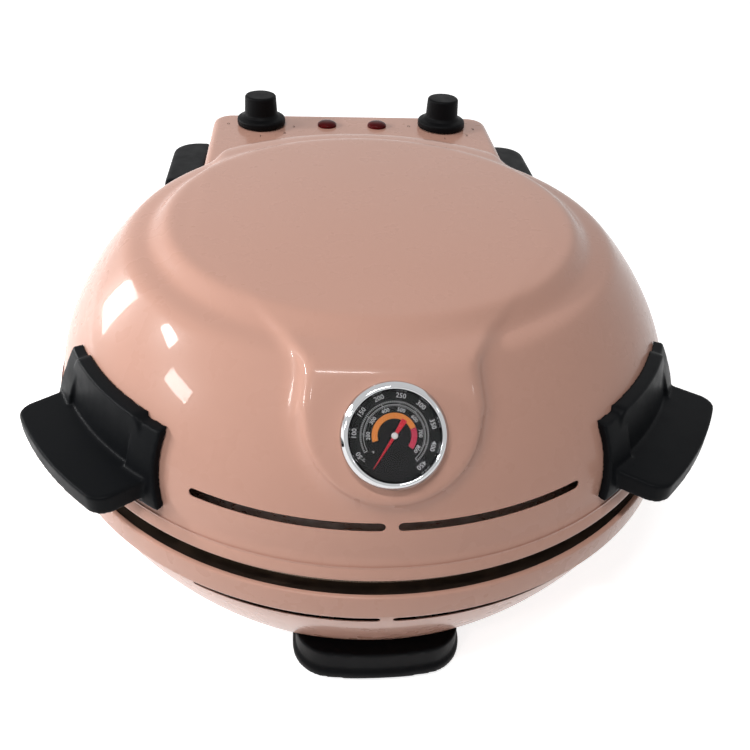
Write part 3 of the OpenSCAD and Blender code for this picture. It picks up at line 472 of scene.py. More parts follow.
def lidSurface(s):
    outline = lidOutline(s)
    low = s["rimHeight"]
    phiOf = np.arctan2(outline[:, 1] - low, outline[:, 0])
    reachOf = np.hypot(outline[:, 0], outline[:, 1] - low)
    tangent = np.gradient(outline, axis=0)
    tangent /= np.linalg.norm(tangent, axis=1)[:, None]
    normal = np.stack([tangent[:, 1], -tangent[:, 0]], 1)
    facing = np.abs(normal[:, 0] * np.cos(phiOf) + normal[:, 1] * np.sin(phiOf))
    columns = np.radians(lidColumns())
    phi = np.linspace(0, math.pi / 2, 1500)
    reach, face = np.interp(phi, phiOf, reachOf), np.interp(phi, phiOf, facing)
    tilt = math.radians(s["padTilt"])
    widthAt = np.linspace(-60, 120, 361)
    width = gaussSmooth(np.interp(widthAt, s["neckAt"], s["neckHalf"]), 8)

    def field(th, ph, t, reach, face):
        rho, z = t * np.cos(ph), low + t * np.sin(ph)
        x, y = rho * np.sin(th), -rho * np.cos(th)
        dome = (t - reach) * face
        dy, dz = y - s["padCentre"][1], z - s["padCentre"][2]
        b = dy * math.sin(tilt) + dz * math.cos(tilt)
        out = -dy * math.cos(tilt) + dz * math.sin(tilt)
        circle = np.hypot(x, b - s["padUp"]) - s["padRadius"]
        flank = np.maximum((np.abs(x) - np.interp(b, widthAt, width)) * 0.92, s["neckFrom"] - b)
        shape = smoothMin(circle, flank, s["neckBlend"])
        stands = np.interp(b, s["standsAt"], (s["padStands"], s["neckStands"]))
        top = smoothMax(dome - stands, z - s["terraceHeight"], s["edgeBlend"])
        pad = smoothMax(smoothMax(shape, out, s["edgeBlend"]), top, s["topBlend"])
        body = smoothMin(dome, pad, s["padBlend"])
        r, e = s["boxCorner"], s["boxEdge"]
        qx, qy = np.abs(x) - s["boxHalfWidth"] + r, y - s["boxBack"] + r
        side = np.hypot(np.maximum(qx, 0), np.maximum(qy, 0)) + np.minimum(np.maximum(qx, qy), 0) - r + e
        over = z - s["panelHeight"] + e
        box = np.hypot(np.maximum(side, 0), np.maximum(over, 0)) + np.minimum(np.maximum(side, over), 0) - e
        box = np.maximum(box, s["boxFront"] - y)   # its front lies inside the dome
        return smoothMin(body, box, s["boxBlend"])

    def solve(th, ph, reach, face):
        # halves the span between the nearest and farthest place the surface can be
        size = np.broadcast(th, ph).shape
        a, b = np.full(size, 60.0), np.full(size, 300.0)
        for _ in range(26):
            m = (a + b) / 2
            inside = field(th, ph, m, reach, face) < 0
            a, b = np.where(inside, m, a), np.where(inside, b, m)
        return (a + b) / 2

    dense = solve(columns[:, None], phi[None, :], reach[None, :], face[None, :])
    rho, z = dense * np.cos(phi), low + dense * np.sin(phi)
    zc, w = s["slotHeight"], s["slotWidth"] / 2
    lowRows = [94.5, 95.4, 96.8, 98.6, 100.4, 102, 103.2, 104, 104.7, 105.6, 107.2, 109.6, 112.2,
               114.8, 116.6]
    slotRows = [zc + w * math.sin(a) for a in slotTurn]
    rows = lowRows + slotRows + [122.6, 124.4, 126.4, 128.6]
    count = 104   # rows from there to the middle
    half = np.zeros((len(columns), len(rows) + count, 3))
    for i, th in enumerate(columns):
        rr, zz = rho[i], z[i]
        line = np.interp(rows, zz[:900], rr[:900])
        half[i, :len(rows), 0] = line
        half[i, :len(rows), 1] = rows
        half[i, :len(rows), 2] = th
        start = np.searchsorted(zz, rows[-1])
        pr, pz = np.concatenate([[line[-1]], rr[start:]]), np.concatenate([[rows[-1]], zz[start:]])
        step = np.hypot(np.diff(pr), np.diff(pz))
        turn = np.abs(np.diff(np.unwrap(np.arctan2(np.diff(pz), np.diff(pr)))))
        turn = gaussSmooth(np.concatenate([turn, [0]]), 6)
        measure = np.concatenate([[0], np.cumsum(step / 3.6 + turn * 9)])
        at = np.linspace(0, measure[-1], count + 1)[1:]
        half[i, len(rows):, 0] = np.interp(at, measure, pr)
        half[i, len(rows):, 1] = np.interp(at, measure, pz)
        half[i, len(rows):, 2] = th
    slotAt = len(lowRows)
    roundSlotEnds(half, slotAt, lidColumns(), s, slotTurn)
    return half, slotAt


def shellMesh(half, slotAt, slotColumns, hem, sheet, closeTop):
    # the sheet's outer face, left and right, its folded rim and the walls of its slots
    slotRows = len(slotTurn)
    mirrored = half[-2:0:-1].copy()
    mirrored[:, :, 2] *= -1
    grid = np.concatenate([half, mirrored])
    hemRows = [np.stack([grid[:, 0, 0] - d, np.full(len(grid), z), grid[:, 0, 2]], 1) for d, z in hem]
    grid = np.concatenate([np.stack(hemRows, 1), grid], 1)
    slotAt += len(hem)
    n, m = grid.shape[:2]
    flat = grid.reshape(-1, 3)
    points = np.stack([flat[:, 0] * np.sin(flat[:, 2]), -flat[:, 0] * np.cos(flat[:, 2]), flat[:, 1]], 1)
    first, last = slotColumns
    cols = set(range(first, last)) | set(range(n - last, n - first))
    faces = []
    for i in range(n):
        k = (i + 1) % n
        for j in range(m - 1):
            if i in cols and slotAt <= j < slotAt + slotRows - 1:
                continue
            faces.append((i * m + j, k * m + j, k * m + j + 1, i * m + j + 1))
    if closeTop:
        faces += [(i * m + m - 1, ((i + 1) % n) * m + m - 1, n * m) for i in range(n)]
        points = np.vstack([points, [0, 0, closeTop]])
    extra = []
    for a, b in ((first, last), (n - last, n - first)):
        ring = [(c, slotAt) for c in range(a, b + 1)] + [(b % n, slotAt + k) for k in range(1, slotRows)]
        ring += [(c, slotAt + slotRows - 1) for c in range(b - 1, a - 1, -1)]
        ring += [(a, slotAt + k) for k in range(slotRows - 2, 0, -1)]
        ids = [(c % n) * m + j for c, j in ring]
        base = len(points) + len(extra)
        for q in ids:
            p = points[q]
            r = math.hypot(p[0], p[1])
            extra.append((p[0] * (1 - sheet / r), p[1] * (1 - sheet / r), p[2]))
        c = len(ids)
        faces += [(ids[q], ids[(q + 1) % c], base + (q + 1) % c, base + q) for q in range(c)]
    return np.vstack([points, np.array(extra)]), faces


def makeLid(s):
    half, slotAt = lidSurface(s)
    hem = [(1.7, 101), (1.7, 94.6), (1.35, 94.1), (0.35, 94.05)]   # inwards, height
    top = s["plateauHeight"] + s["crown"]
    points, faces = shellMesh(half, slotAt, slotEnds(lidColumns(), s), hem, s["sheet"], top)
    for side in (-1, 1):
        for hole, axis in (("knobHole", (0, 0, 1)), ("hingeHole", (1, 0, 0))):
            x, y, z = s[hole]
            points, faces = openHole(points, faces, (side * x, y, z), axis, s[hole + "Radius"],
                                     s["holeDepth"])
    obj = meshOf("lidShell", points, faces, enamel, sharp=60)
    place(obj, "lid", "pink_enamel", "lid_shell")


makeLid(lidSizes)
print("stage: lid")


# Base: rim band, step and bowl

baseSizes = {
    "rimRadius": 172, "rimHeight": 85.7, "lip": 2.4, "bandHeight": 72.2, "stepRadius": 169,
    "bowlDrop": 142, "bowlFullness": 1.3, "floorHeight": 11, "hole": 96,
    "slotHeight": 65.4, "slotWidth": 3.8, "slotNear": 1.6, "slotFar": 31, "sheet": 0.5, "hem": 1.5,
}


def makeBase(s):
    def bowl(z):
        return s["stepRadius"] * math.sqrt(1 - ((s["bandHeight"] - z) / s["bowlDrop"]) ** s["bowlFullness"])

    zc, w = s["slotHeight"], s["slotWidth"] / 2
    downwards = slotTurn[::-1]
    slotRows = [(bowl(zc + w * math.sin(a)), zc + w * math.sin(a)) for a in downwards]
    R, top, band = s["rimRadius"], s["rimHeight"], s["bandHeight"]
    head = rounded([(R - s["lip"], top - s["hem"]), (R - s["lip"], top), (R, top), (R, band), (169.6, band),
                    (bowl(band - 2.2), band - 2.2)], [0, 0.6, 1.7, 1.3, 0.9, 0], 5)
    mid = [(bowl(z), z) for z in (69, 68.2)]
    floor = s["floorHeight"]
    wall = [(bowl(z), z) for z in np.linspace(62.6, floor + 6, 22)]
    low = bowl(floor + 2)
    rest = rounded([wall[-1], (low - 2.2, floor), (low - 16, floor)], [0, 8, 0], 6)[1:]
    tail = [(112, floor), (s["hole"] + 0.5, floor), (s["hole"], floor + 0.4), (s["hole"], floor + 1.5)]
    line = head + mid + slotRows + wall + rest + tail
    slotAt = len(head) + len(mid)
    degrees = np.concatenate([[0, 1.6], np.linspace(2.7, 29.9, 34), [31, 32.1], np.linspace(33.4, 180, 116)])
    half = np.zeros((len(degrees), len(line), 3))
    half[:, :, 0] = [p[0] for p in line]
    half[:, :, 1] = [p[1] for p in line]
    half[:, :, 2] = np.radians(degrees)[:, None]
    roundSlotEnds(half, slotAt, degrees, s, downwards)
    points, faces = shellMesh(half, slotAt, slotEnds(degrees, s), [(-0.6, 84.2)], s["sheet"], None)
    obj = meshOf("baseShell", points, faces, enamel, sharp=50)
    place(obj, "base", "pink_enamel", "base_shell")


makeBase(baseSizes)
print("stage: base")


# Moulded pieces: the CAD solid's shape with softened edges

def moulded(name, node, size, material, body, slotName):
    voxel, passes = size
    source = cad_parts[node]
    obj = bpy.data.objects.new(name, source.data.copy())
    bpy.context.scene.collection.objects.link(obj)
    remesh = obj.modifiers.new("remesh", "REMESH")
    remesh.mode = "VOXEL"
    remesh.voxel_size = voxel / 1000
    soft = obj.modifiers.new("soften", "SMOOTH")
    soft.factor = 0.5
    soft.iterations = passes
    graph = bpy.context.evaluated_depsgraph_get()
    mesh = bpy.data.meshes.new_from_object(obj.evaluated_get(graph))
    obj.modifiers.clear()
    obj.data = mesh
    mesh.name = name
    mesh.materials.clear()
    mesh.materials.append(material)
    mesh.shade_smooth()
    return place(obj, body, slotName, node)


# voxel in mm, and passes of smoothing
mouldedSizes = {"handle": (0.75, 7), "cover": (1.3, 8), "foot": (1.1, 2)}
for side in ("left", "right"):
    moulded("handle." + side, "handle_" + side, mouldedSizes["handle"], blackPlastic, "lid", "black_plastic")
    moulded("hingeCover." + side, "hinge_cover_" + side, mouldedSizes["cover"], blackPlastic, "base",
            "black_plastic")
moulded("feet", "feet", mouldedSizes["foot"], footPlastic, "base", "black_plastic")
print("stage: moulded pieces")


# Knobs

knobSizes = {"x": 65, "y": 196, "z": 160.8, "skirt": 17, "skirtHeight": 5.5, "cap": 11.5, "capTop": 10.5,
             "height": 20.5}


def makeKnob(s, side, name, body, node):
    h, c = s["skirtHeight"], s["cap"]
    outline = rounded([(9.2, 3.5), (9.2, 0.05), (s["skirt"], 0), (s["skirt"], h - 0.9), (c + 1.6, h + 0.4),
                       (c, h + 2.2), (s["capTop"] + 0.35, s["height"]), (0, s["height"])],
                      [0, 0.5, 1.2, 2.2, 1.6, 2.5, 1.9, 0], 6)
    points, faces = turned(outline, 96)
    points[:, 0] += side * s["x"]
    points[:, 1] += s["y"]
    points[:, 2] += s["z"]
    obj = meshOf(name, points, faces, knobPlastic, sharp=50)
    place(obj, body, "black_plastic", node)


makeKnob(knobSizes, -1, "knob.left", "left_knob", "knob_left")
makeKnob(knobSizes, 1, "knob.right", "right_knob", "knob_right")

lampSizes = {"x": 18, "y": 195, "z": 160, "radius": 6.8, "stem": 4.7}


def makeLamps(s):
    allPoints, allFaces = [], []
    r = s["radius"]
    dome = [(r * math.cos(a) ** 0.75, 0.9 + 2.7 * math.sin(a)) for a in np.linspace(0, math.pi / 2, 12)]
    outline = [(s["stem"], -1.5), (s["stem"], 0.02), (r - 0.2, 0.02), (r, 0.3)] + dome
    for side in (-1, 1):
        points, faces = turned(outline, 64)
        points += np.array([side * s["x"], s["y"], s["z"]])
        start = sum(len(p) for p in allPoints)
        allPoints.append(points)
        allFaces += [tuple(i + start for i in f) for f in faces]
    obj = meshOf("lampLenses", np.vstack(allPoints), allFaces, lampRed, sharp=50)
    place(obj, "lid", "red_lens", "lamp_lenses")


makeLamps(lampSizes)

glandSizes = {"back": 218, "height": 116, "radius": 7, "reach": 7, "bore": 3.8}


def makeGland(s):
    r, b = s["radius"], s["bore"]
    outline = rounded([(b, -6), (b, s["reach"]), (r - 0.5, s["reach"]), (r - 0.5, 2.5), (r + 3, 2.5),
                       (r + 3, 0.02), (r - 0.2, 0.02), (r - 0.2, -6)],
                      [0, 0.6, 0.9, 0.8, 0.9, 0.3, 0.3, 0], 5)
    points, faces = turned(outline, 64)
    points = np.stack([points[:, 0], s["back"] + points[:, 2], s["height"] + points[:, 1]], 1)
    obj = meshOf("cordGland", points, faces, blackPlastic, sharp=50)
    place(obj, "lid", "black_plastic", "cord_gland")


makeGland(glandSizes)
print("stage: knobs, lamps and gland")


# Thermometer, laid out on the raised pad: x to the right, y up the slope, z outwards

dialSizes = {
    "bezel": 22, "bezelHeight": 7, "window": 18.2, "lensBottom": 5.2, "lensTop": 6.2, "face": 2.8,
    "lineInner": 12.3, "lineOuter": 12.42, "needleLow": 3.42, "needleHigh": 3.72,
    "celsiusStart": 208.5, "celsiusStep": 0.642, "fahrenheitStart": 180, "fahrenheitStep": 0.352,
    "outerNumbers": 16.0, "innerNumbers": 10.4, "arcInner": 6.8, "arcOuter": 9.1, "needleRest": 237,
}


def padFrame():
    tilt = math.radians(lidSizes["padTilt"])
    turn = Matrix(((1, 0, 0), (0, math.sin(tilt), -math.cos(tilt)), (0, math.cos(tilt), math.sin(tilt))))
    return Matrix.Translation(spotOf(*lidSizes["padCentre"])) @ turn.to_4x4()


onPad = padFrame()


def padPiece(name, points, faces, material, sharp=38):
    p = np.array(points, float) * 0.001
    m = np.array(onPad)
    return meshOf(name, p @ m[:3, :3].T + m[:3, 3], faces, material, sharp, inMm=False)


def makeBezel(s):
    R, H, w = s["bezel"], s["bezelHeight"], s["window"]
    outline = rounded([(R - 2.2, 0.3), (R - 0.3, 0.25), (R, 2.6), (R - 0.35, 4.7), (R - 1.6, 6.6),
                       (R - 2.4, H), (R - 3.2, H - 0.25), (w + 0.2, H - 2.2), (w, s["lensTop"] - 1.9),
                       (w + 0.1, s["face"] + 0.1)],
                      [0, 0.4, 1.2, 1.2, 1.2, 1.0, 0.9, 0.5, 0.2, 0], 6)
    points, faces = turned(outline, 128)
    place(padPiece("bezel", points, faces, chrome, 50), "lid", "bright_chrome", "thermometer_bezel")
    low = s["lensBottom"] - 0.4
    lens = rounded([(0, low), (w - 0.05, low), (w - 0.05, s["lensTop"] - 0.8), (0, s["lensTop"] - 0.55)],
                   [0, 0.1, 0.1, 0], 2)
    points, faces = turned(lens, 96)
    place(padPiece("lens", points, faces, glass, 50), "lid", "clear_glass", "thermometer_lens")


def sector(r0, r1, start, end, low, high, steps):
    points, faces = [], []
    for a in np.radians(np.linspace(start, end, steps + 1)):
        for r in (r0, r1):
            for z in (low, high):
                points.append((r * math.cos(a), r * math.sin(a), z))
    for i in range(steps):
        q, w = 4 * i, 4 * (i + 1)
        faces += [(q + 1, q + 3, w + 3, w + 1), (q, w, w + 2, q + 2), (q, q + 1, w + 1, w),
                  (q + 2, w + 2, w + 3, q + 3)]
    faces += [(0, 2, 3, 1), (4 * steps, 4 * steps + 1, 4 * steps + 3, 4 * steps + 2)]
    return points, faces


def newTree(name, inputs):
    # a node group with a geometry output and the named inputs of each kind
    tree = bpy.data.node_groups.new(name, "GeometryNodeTree")
    tree.interface.new_socket(name="Geometry", in_out="OUTPUT", socket_type="NodeSocketGeometry")
    ids = {}
    for kind, names in inputs:
        for key in names:
            item = tree.interface.new_socket(name=key, in_out="INPUT", socket_type="NodeSocket" + kind)
            ids[key] = item.identifier
    return tree, ids


def paintedOutput(tree, given, instances):
    nodes, links = tree.nodes, tree.links
    real = nodes.new("GeometryNodeRealizeInstances")
    links.new(instances, real.inputs[0])
    paint = nodes.new("GeometryNodeSetMaterial")
    links.new(real.outputs[0], paint.inputs["Geometry"])
    links.new(given.outputs["Material"], paint.inputs["Material"])
    links.new(paint.outputs[0], nodes.new("NodeGroupOutput").inputs[0])


def tickTree():
    # short bars set along an arc; every so many is a long one
    tree, ids = newTree("dialTicks", (
        ("Int", ("Count", "Every")), ("Float", ("Start", "Step", "Radius", "Long", "Short", "Width")),
        ("Material", ("Material",))))
    nodes, links = tree.nodes, tree.links
    given = nodes.new("NodeGroupInput")

    def math2(op, a, b):
        node = nodes.new("ShaderNodeMath")
        node.operation = op
        for socket, value in zip(node.inputs, (a, b)):
            if isinstance(value, (int, float)):
                socket.default_value = value
            elif value is not None:
                links.new(value, socket)
        return node.outputs[0]

    line = nodes.new("GeometryNodeMeshLine")
    line.inputs["Offset"].default_value = (0, 0, 0)
    links.new(given.outputs["Count"], line.inputs["Count"])
    index = nodes.new("GeometryNodeInputIndex").outputs[0]
    angle = math2("SUBTRACT", given.outputs["Start"], math2("MULTIPLY", index, given.outputs["Step"]))
    rest = math2("MODULO", index, given.outputs["Every"])
    major = math2("LESS_THAN", rest, 0.5)
    length = math2("ADD", given.outputs["Short"],
                   math2("MULTIPLY", major, math2("SUBTRACT", given.outputs["Long"], given.outputs["Short"])))
    middle = math2("SUBTRACT", given.outputs["Radius"], math2("MULTIPLY", length, 0.5))
    spot = nodes.new("ShaderNodeCombineXYZ")
    links.new(math2("MULTIPLY", middle, math2("COSINE", angle, None)), spot.inputs[0])
    links.new(math2("MULTIPLY", middle, math2("SINE", angle, None)), spot.inputs[1])
    move = nodes.new("GeometryNodeSetPosition")
    links.new(line.outputs[0], move.inputs["Geometry"])
    links.new(spot.outputs[0], move.inputs["Position"])
    bar = nodes.new("GeometryNodeMeshCube")
    bar.inputs["Size"].default_value = (1, 1, 1)
    turn = nodes.new("ShaderNodeCombineXYZ")
    links.new(angle, turn.inputs[2])
    rotation = nodes.new("FunctionNodeEulerToRotation")
    links.new(turn.outputs[0], rotation.inputs[0])
    scale = nodes.new("ShaderNodeCombineXYZ")
    links.new(length, scale.inputs[0])
    links.new(given.outputs["Width"], scale.inputs[1])
    scale.inputs[2].default_value = 0.04
    put = nodes.new("GeometryNodeInstanceOnPoints")
    links.new(move.outputs[0], put.inputs["Points"])
    links.new(bar.outputs[0], put.inputs["Instance"])
    links.new(rotation.outputs[0], put.inputs["Rotation"])
    links.new(scale.outputs[0], put.inputs["Scale"])
    paintedOutput(tree, given, put.outputs[0])
    return tree, ids


def fromTree(name, tree, ids, values, points=None):
    mesh = bpy.data.meshes.new(name + ".seed")
    if points is not None:
        places, aims = points
        mesh.from_pydata([tuple(p) for p in places], [], [])
        attribute = mesh.attributes.new("aim", "FLOAT_VECTOR", "POINT")
        attribute.data.foreach_set("vector", np.array(aims, float).ravel())
    obj = bpy.data.objects.new(name, mesh)
    bpy.context.scene.collection.objects.link(obj)
    modifier = obj.modifiers.new("nodes", "NODES")
    modifier.node_group = tree
    for key, value in values.items():
        modifier[ids[key]] = value
    bpy.context.view_layer.update()
    graph = bpy.context.evaluated_depsgraph_get()
    made = bpy.data.meshes.new_from_object(obj.evaluated_get(graph))
    obj.modifiers.clear()
    obj.data = made
    made.name = name
    return obj


def ontoPad(obj, lift):
    m = onPad @ Matrix.Translation((0, 0, lift / 1000)) @ Matrix.Scale(0.001, 4)
    obj.data.transform(m)
    return obj


def textMesh(words, size, resolution=2):
    curve = bpy.data.curves.new("words", "FONT")
    curve.body = words
    curve.size = size
    curve.align_x = "CENTER"
    curve.align_y = "CENTER"
    curve.resolution_u = resolution
    curve.extrude = 0.02
    obj = bpy.data.objects.new("words", curve)
    bpy.context.scene.collection.objects.link(obj)
    graph = bpy.context.evaluated_depsgraph_get()
    mesh = bpy.data.meshes.new_from_object(obj.evaluated_get(graph))
    bpy.data.objects.remove(obj)
    return mesh


def joined(name, meshes, material):
    bm = bmesh.new()
    for mesh, matrix in meshes:
        mesh.transform(matrix)
        bm.from_mesh(mesh)
    out = bpy.data.meshes.new(name)
    bm.to_mesh(out)
    bm.free()
    out.materials.clear()
    out.materials.append(material)
    obj = bpy.data.objects.new(name, out)
    bpy.context.scene.collection.objects.link(obj)
    return obj


def makeDial(s):
    tree, ids = tickTree()
    face, start = s["face"], s["celsiusStart"]
    for name, first, step, count, radius, long, short, width in (
            ("ticks.outer", start, s["celsiusStep"] * 5, 81, 13.9, 1.5, 0.75, 0.2),
            ("ticks.inner", s["fahrenheitStart"], s["fahrenheitStep"] * 10, 61, 12.1, 0.7, 0.4, 0.18)):
        ticks = fromTree(name, tree, ids, {
            "Count": count, "Every": 10, "Start": math.radians(first), "Step": math.radians(step),
            "Radius": radius, "Long": long, "Short": short, "Width": width, "Material": printWhite})
        place(ontoPad(ticks, face + 0.02), "lid", "dial_black")
    line, faces = sector(s["lineInner"], s["lineOuter"], start, start - 400 * s["celsiusStep"],
                         face, face + 0.04, 120)
    place(padPiece("dialLine", line, faces, printWhite), "lid", "dial_black")
    orange, faces = sector(s["arcInner"], s["arcOuter"], 196, 21, face, face + 0.05, 90)
    place(padPiece("arc.orange", orange, faces, printOrange), "lid", "needle_red")
    red, faces = sector(s["arcInner"], s["arcOuter"], 20, -37, face, face + 0.05, 40)
    place(padPiece("arc.red", red, faces, printRed), "lid", "needle_red")
    words = []
    for i in range(9):
        a = math.radians(s["celsiusStart"] - s["celsiusStep"] * 50 * i)
        at = Matrix.Translation((s["outerNumbers"] * math.cos(a), s["outerNumbers"] * math.sin(a), 0))
        words.append((textMesh(str(50 + 50 * i), 2.8), at @ Matrix.Rotation(a - math.pi / 2, 4, "Z")))
    for i in range(7):
        a = math.radians(s["fahrenheitStart"] - s["fahrenheitStep"] * 100 * i)
        at = Matrix.Translation((s["innerNumbers"] * math.cos(a), s["innerNumbers"] * math.sin(a), 0))
        words.append((textMesh(str(200 + 100 * i), 2.2), at @ Matrix.Rotation(a - math.pi / 2, 4, "Z")))
    for text, x, y, size in (("°C", -12.6, -9.6, 1.6), ("°F", -8.6, -6.6, 1.4)):
        words.append((textMesh(text, size), Matrix.Translation((x, y, 0))))
    place(ontoPad(joined("dialNumbers", words, printWhite), face + 0.03), "lid", "dial_black")


def makeNeedle(s):
    a = math.radians(s["needleRest"])
    upper = [(15.6, 0.1), (1.2, 0.62), (-2, 0.75), (-7.2, 1.2), (-7.5, 1.0)]
    outline = upper + [(x, -y) for x, y in reversed(upper)]
    n = len(outline)
    turn = [(x * math.cos(a) - y * math.sin(a), x * math.sin(a) + y * math.cos(a)) for x, y in outline]
    points = [(x, y, z) for z in (s["needleLow"], s["needleHigh"]) for x, y in turn]
    faces = [tuple(range(n)), tuple(range(2 * n - 1, n - 1, -1))]
    faces += [(i, (i + 1) % n, n + (i + 1) % n, n + i) for i in range(n)]
    needle = padPiece("needle", points, faces, needleRed, 30)
    place(needle, "needle", "needle_red", "thermometer_needle")
    hub = rounded([(0.58, 1.6), (0.58, 3.4), (1.35, 3.4), (1.35, 4.0), (0.6, 4.2), (0, 4.2)],
                  [0, 0.1, 0.1, 0.35, 0.3, 0], 4)
    points, faces = turned(hub, 40)
    place(padPiece("needleHub", points, faces, plainSteel, 50), "needle", "needle_red")


makeBezel(dialSizes)
makeDial(dialSizes)
makeNeedle(dialSizes)
print("stage: thermometer")


# Screws: pan heads with a cross, below the bottom cover and the box floor

def screwTree():
    tree, ids = newTree("panScrews", (
        ("Geometry", ("Geometry",)),
        ("Float", ("Head Radius", "Head Height", "Shank Radius", "Shank Length", "Cross")),
        ("Material", ("Material",))))
    nodes, link = tree.nodes, tree.links.new
    given = nodes.new("NodeGroupInput")

    def moved(geometry, z):
        node = nodes.new("GeometryNodeTransform")
        link(geometry, node.inputs["Geometry"])
        vec = nodes.new("ShaderNodeCombineXYZ")
        link(z, vec.inputs[2])
        link(vec.outputs[0], node.inputs["Translation"])
        return node.outputs[0]

    def times(a, b):
        node = nodes.new("ShaderNodeMath")
        node.operation = "MULTIPLY"
        link(a, node.inputs[0])
        node.inputs[1].default_value = b
        return node.outputs[0]

    head = nodes.new("GeometryNodeMeshCone")
    head.inputs["Vertices"].default_value = 32
    head.inputs["Side Segments"].default_value = 3
    link(given.outputs["Head Radius"], head.inputs["Radius Bottom"])
    link(times(given.outputs["Head Radius"], 0.72), head.inputs["Radius Top"])
    link(given.outputs["Head Height"], head.inputs["Depth"])
    shank = nodes.new("GeometryNodeMeshCylinder")
    shank.inputs["Vertices"].default_value = 20
    link(given.outputs["Shank Radius"], shank.inputs["Radius"])
    link(given.outputs["Shank Length"], shank.inputs["Depth"])
    shankAt = moved(shank.outputs["Mesh"], times(given.outputs["Shank Length"], -0.5))
    crossings = nodes.new("GeometryNodeJoinGeometry")
    for turned90 in (False, True):
        cut = nodes.new("GeometryNodeMeshCube")
        size = nodes.new("ShaderNodeCombineXYZ")
        long, thin = given.outputs["Cross"], times(given.outputs["Cross"], 0.24)
        link(thin if turned90 else long, size.inputs[0])
        link(long if turned90 else thin, size.inputs[1])
        link(given.outputs["Head Height"], size.inputs[2])
        link(size.outputs[0], cut.inputs["Size"])
        link(moved(cut.outputs["Mesh"], given.outputs["Head Height"]), crossings.inputs[0])
    carve = nodes.new("GeometryNodeMeshBoolean")
    carve.operation = "DIFFERENCE"
    link(head.outputs["Mesh"], carve.inputs["Mesh 1"])
    link(crossings.outputs[0], carve.inputs["Mesh 2"])
    whole = nodes.new("GeometryNodeJoinGeometry")
    link(carve.outputs["Mesh"], whole.inputs[0])
    link(shankAt, whole.inputs[0])
    aim = nodes.new("GeometryNodeInputNamedAttribute")
    aim.data_type = "FLOAT_VECTOR"
    aim.inputs["Name"].default_value = "aim"
    turn = nodes.new("FunctionNodeAlignRotationToVector")
    turn.axis = "Z"
    link(aim.outputs["Attribute"], turn.inputs["Vector"])
    put = nodes.new("GeometryNodeInstanceOnPoints")
    link(given.outputs["Geometry"], put.inputs["Points"])
    link(whole.outputs[0], put.inputs["Instance"])
    link(turn.outputs[0], put.inputs["Rotation"])
    paintedOutput(tree, given, put.outputs[0])
    return tree, ids


screwSizes = {
    "head": 3, "headHeight": 1.6, "shank": 1.7, "cross": 1.15, "coverLength": 6, "boxLength": 7,
    "coverRadius": 100, "coverDrop": 1.5, "boxX": (-78, -26, 26, 78), "boxY": 209.2, "boxZ": 94.5,
}


def makeScrews(s):
    tree, ids = screwTree()
    r, low = s["coverRadius"], baseSizes["floorHeight"] - s["coverDrop"]
    cover = [(r * math.cos(a), r * math.sin(a), low) for a in np.radians((45, 135, 225, 315))]
    box = [(x, s["boxY"], s["boxZ"]) for x in s["boxX"]]
    for name, body, places, length, node in (
            ("screws.cover", "base", cover, s["coverLength"], "bottom_cover_screws"),
            ("screws.boxFloor", "lid", box, s["boxLength"], "box_floor_screws")):
        values = {"Head Radius": s["head"] / 1000, "Head Height": s["headHeight"] / 1000,
                  "Shank Radius": s["shank"] / 1000, "Shank Length": length / 1000,
                  "Cross": s["head"] * s["cross"] / 1000, "Material": plainSteel}
        obj = fromTree(name, tree, ids, values, (toFrame(places), [(0, 0, -1)] * len(places)))
        obj.data.shade_smooth()
        obj.data.set_sharp_from_angle(angle=math.radians(30))
        place(obj, body, "plain_steel", node)


makeScrews(screwSizes)
print("stage: screws")


# Small printed marks beside the knobs

markSizes = {"radius": 23.5, "size": 4.6, "lift": 0.03}


def makeMarks(s):
    words = []
    for side in (-1, 1):
        for text, angle in (("0", 180), ("1", 270), ("2", 315), ("3", 350)):
            a = math.radians(angle)
            x = side * knobSizes["x"] + s["radius"] * math.cos(a)
            y = knobSizes["y"] + s["radius"] * math.sin(a)
            at = Matrix.Translation(spotOf(x, y, lidSizes["panelHeight"] + s["lift"]))
            words.append((textMesh(text, s["size"]), at @ Matrix.Scale(0.001, 4)))
    place(joined("knobMarks", words, markBrown), "lid", "dial_black")


makeMarks(markSizes)
print("stage: marks")


# Floor, background and lights

stageSizes = {"floor": 8.0, "worldLight": 0.165, "floorLift": 0.8}
lamps = [
    # name, place, size, power, in metres and watts
    ("leftBack", (-1.2, 0.62, 0.34), (0.24, 0.42), 6),
    ("left", (-1.25, 0.02, 0.74), (0.2, 0.1), 5.5),
    ("leftLow", (-1.27, -0.36, 0.6), (0.28, 0.12), 4.5),
    ("leftFront", (-0.6, -0.92, 1.05), (0.14, 0.08), 1.4),
    ("over", (-0.2, -0.6, 1.42), (0.55, 0.1), 8),
    ("rightFront", (0.78, -0.86, 1.0), (0.1, 0.08), 0.4),
]


def seenRays(nodes, links, path):
    # 1 for the rays that show the background: straight, mirrored or through glass
    value = path.outputs["Is Camera Ray"]
    for name in ("Is Glossy Ray", "Is Transmission Ray"):
        node = nodes.new("ShaderNodeMath")
        node.operation = "MAXIMUM"
        links.new(value, node.inputs[0])
        links.new(path.outputs[name], node.inputs[1])
        value = node.outputs[0]
    return value


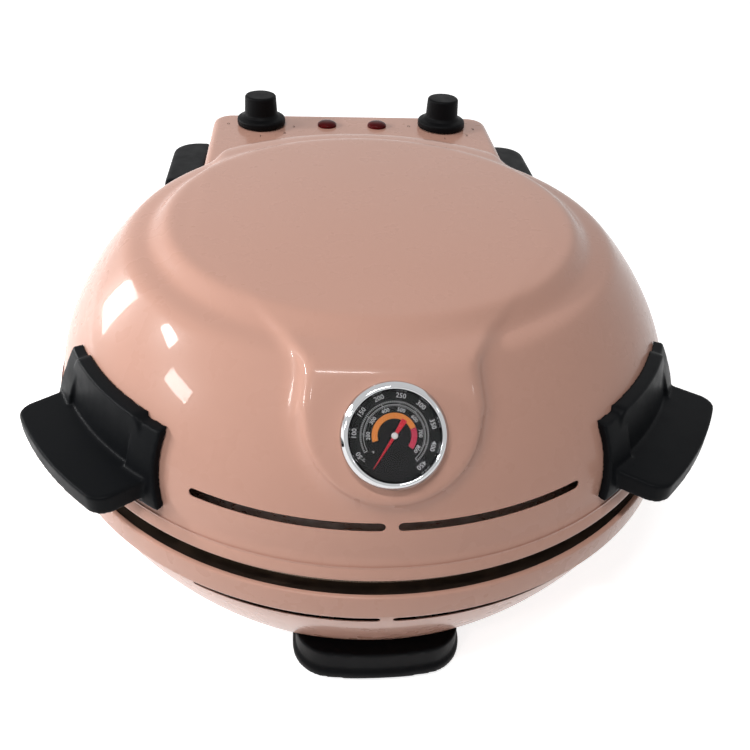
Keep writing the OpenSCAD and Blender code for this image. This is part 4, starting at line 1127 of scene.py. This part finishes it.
def makeFloor(s):
    half = s["floor"] / 2
    mesh = bpy.data.meshes.new("floor")
    corners = [(-half, -half, 0), (half, -half, 0), (half, half, 0), (-half, half, 0)]
    mesh.from_pydata(corners, [], [(0, 1, 2, 3)])
    mat = bpy.data.materials.new("paleFloor")
    mat.use_nodes = True
    nodes, links = mat.node_tree.nodes, mat.node_tree.links
    nodes.remove(nodes["Principled BSDF"])
    matt = nodes.new("ShaderNodeBsdfDiffuse")
    matt.inputs["Color"].default_value = (0.86, 0.86, 0.86, 1)
    glow = nodes.new("ShaderNodeEmission")
    path = nodes.new("ShaderNodeLightPath")
    strength = nodes.new("ShaderNodeMath")
    strength.operation = "MULTIPLY"
    strength.inputs[1].default_value = s["floorLift"]
    links.new(seenRays(nodes, links, path), strength.inputs[0])
    links.new(strength.outputs[0], glow.inputs["Strength"])
    both = nodes.new("ShaderNodeAddShader")
    links.new(matt.outputs[0], both.inputs[0])
    links.new(glow.outputs[0], both.inputs[1])
    links.new(both.outputs[0], nodes["Material Output"].inputs["Surface"])
    mesh.materials.append(mat)
    obj = bpy.data.objects.new("floor", mesh)
    bpy.context.scene.collection.objects.link(obj)


def makeWorld(s):
    world = bpy.data.worlds.new("studio")
    bpy.context.scene.world = world
    world.use_nodes = True
    nodes, links = world.node_tree.nodes, world.node_tree.links
    back = nodes["Background"]
    back.inputs["Color"].default_value = (1, 1, 1, 1)
    path = nodes.new("ShaderNodeLightPath")
    spread = nodes.new("ShaderNodeMapRange")
    spread.inputs["To Min"].default_value = s["worldLight"]
    spread.inputs["To Max"].default_value = 1.0
    links.new(seenRays(nodes, links, path), spread.inputs["Value"])
    links.new(spread.outputs["Result"], back.inputs["Strength"])


def makeLights(lights, target=(0, -0.02, 0.12)):
    for name, spot, (wide, high), power in lights:
        data = bpy.data.lights.new(name, "AREA")
        data.shape = "RECTANGLE"
        data.size, data.size_y = wide, high
        data.energy = power
        obj = bpy.data.objects.new(name, data)
        bpy.context.scene.collection.objects.link(obj)
        obj.location = spot
        obj.rotation_euler = (Vector(target) - Vector(spot)).to_track_quat("-Z", "Y").to_euler()


makeFloor(stageSizes)
makeWorld(stageSizes)
makeLights(lamps)
bpy.context.scene.view_settings.view_transform = "Standard"
print("stage: studio")
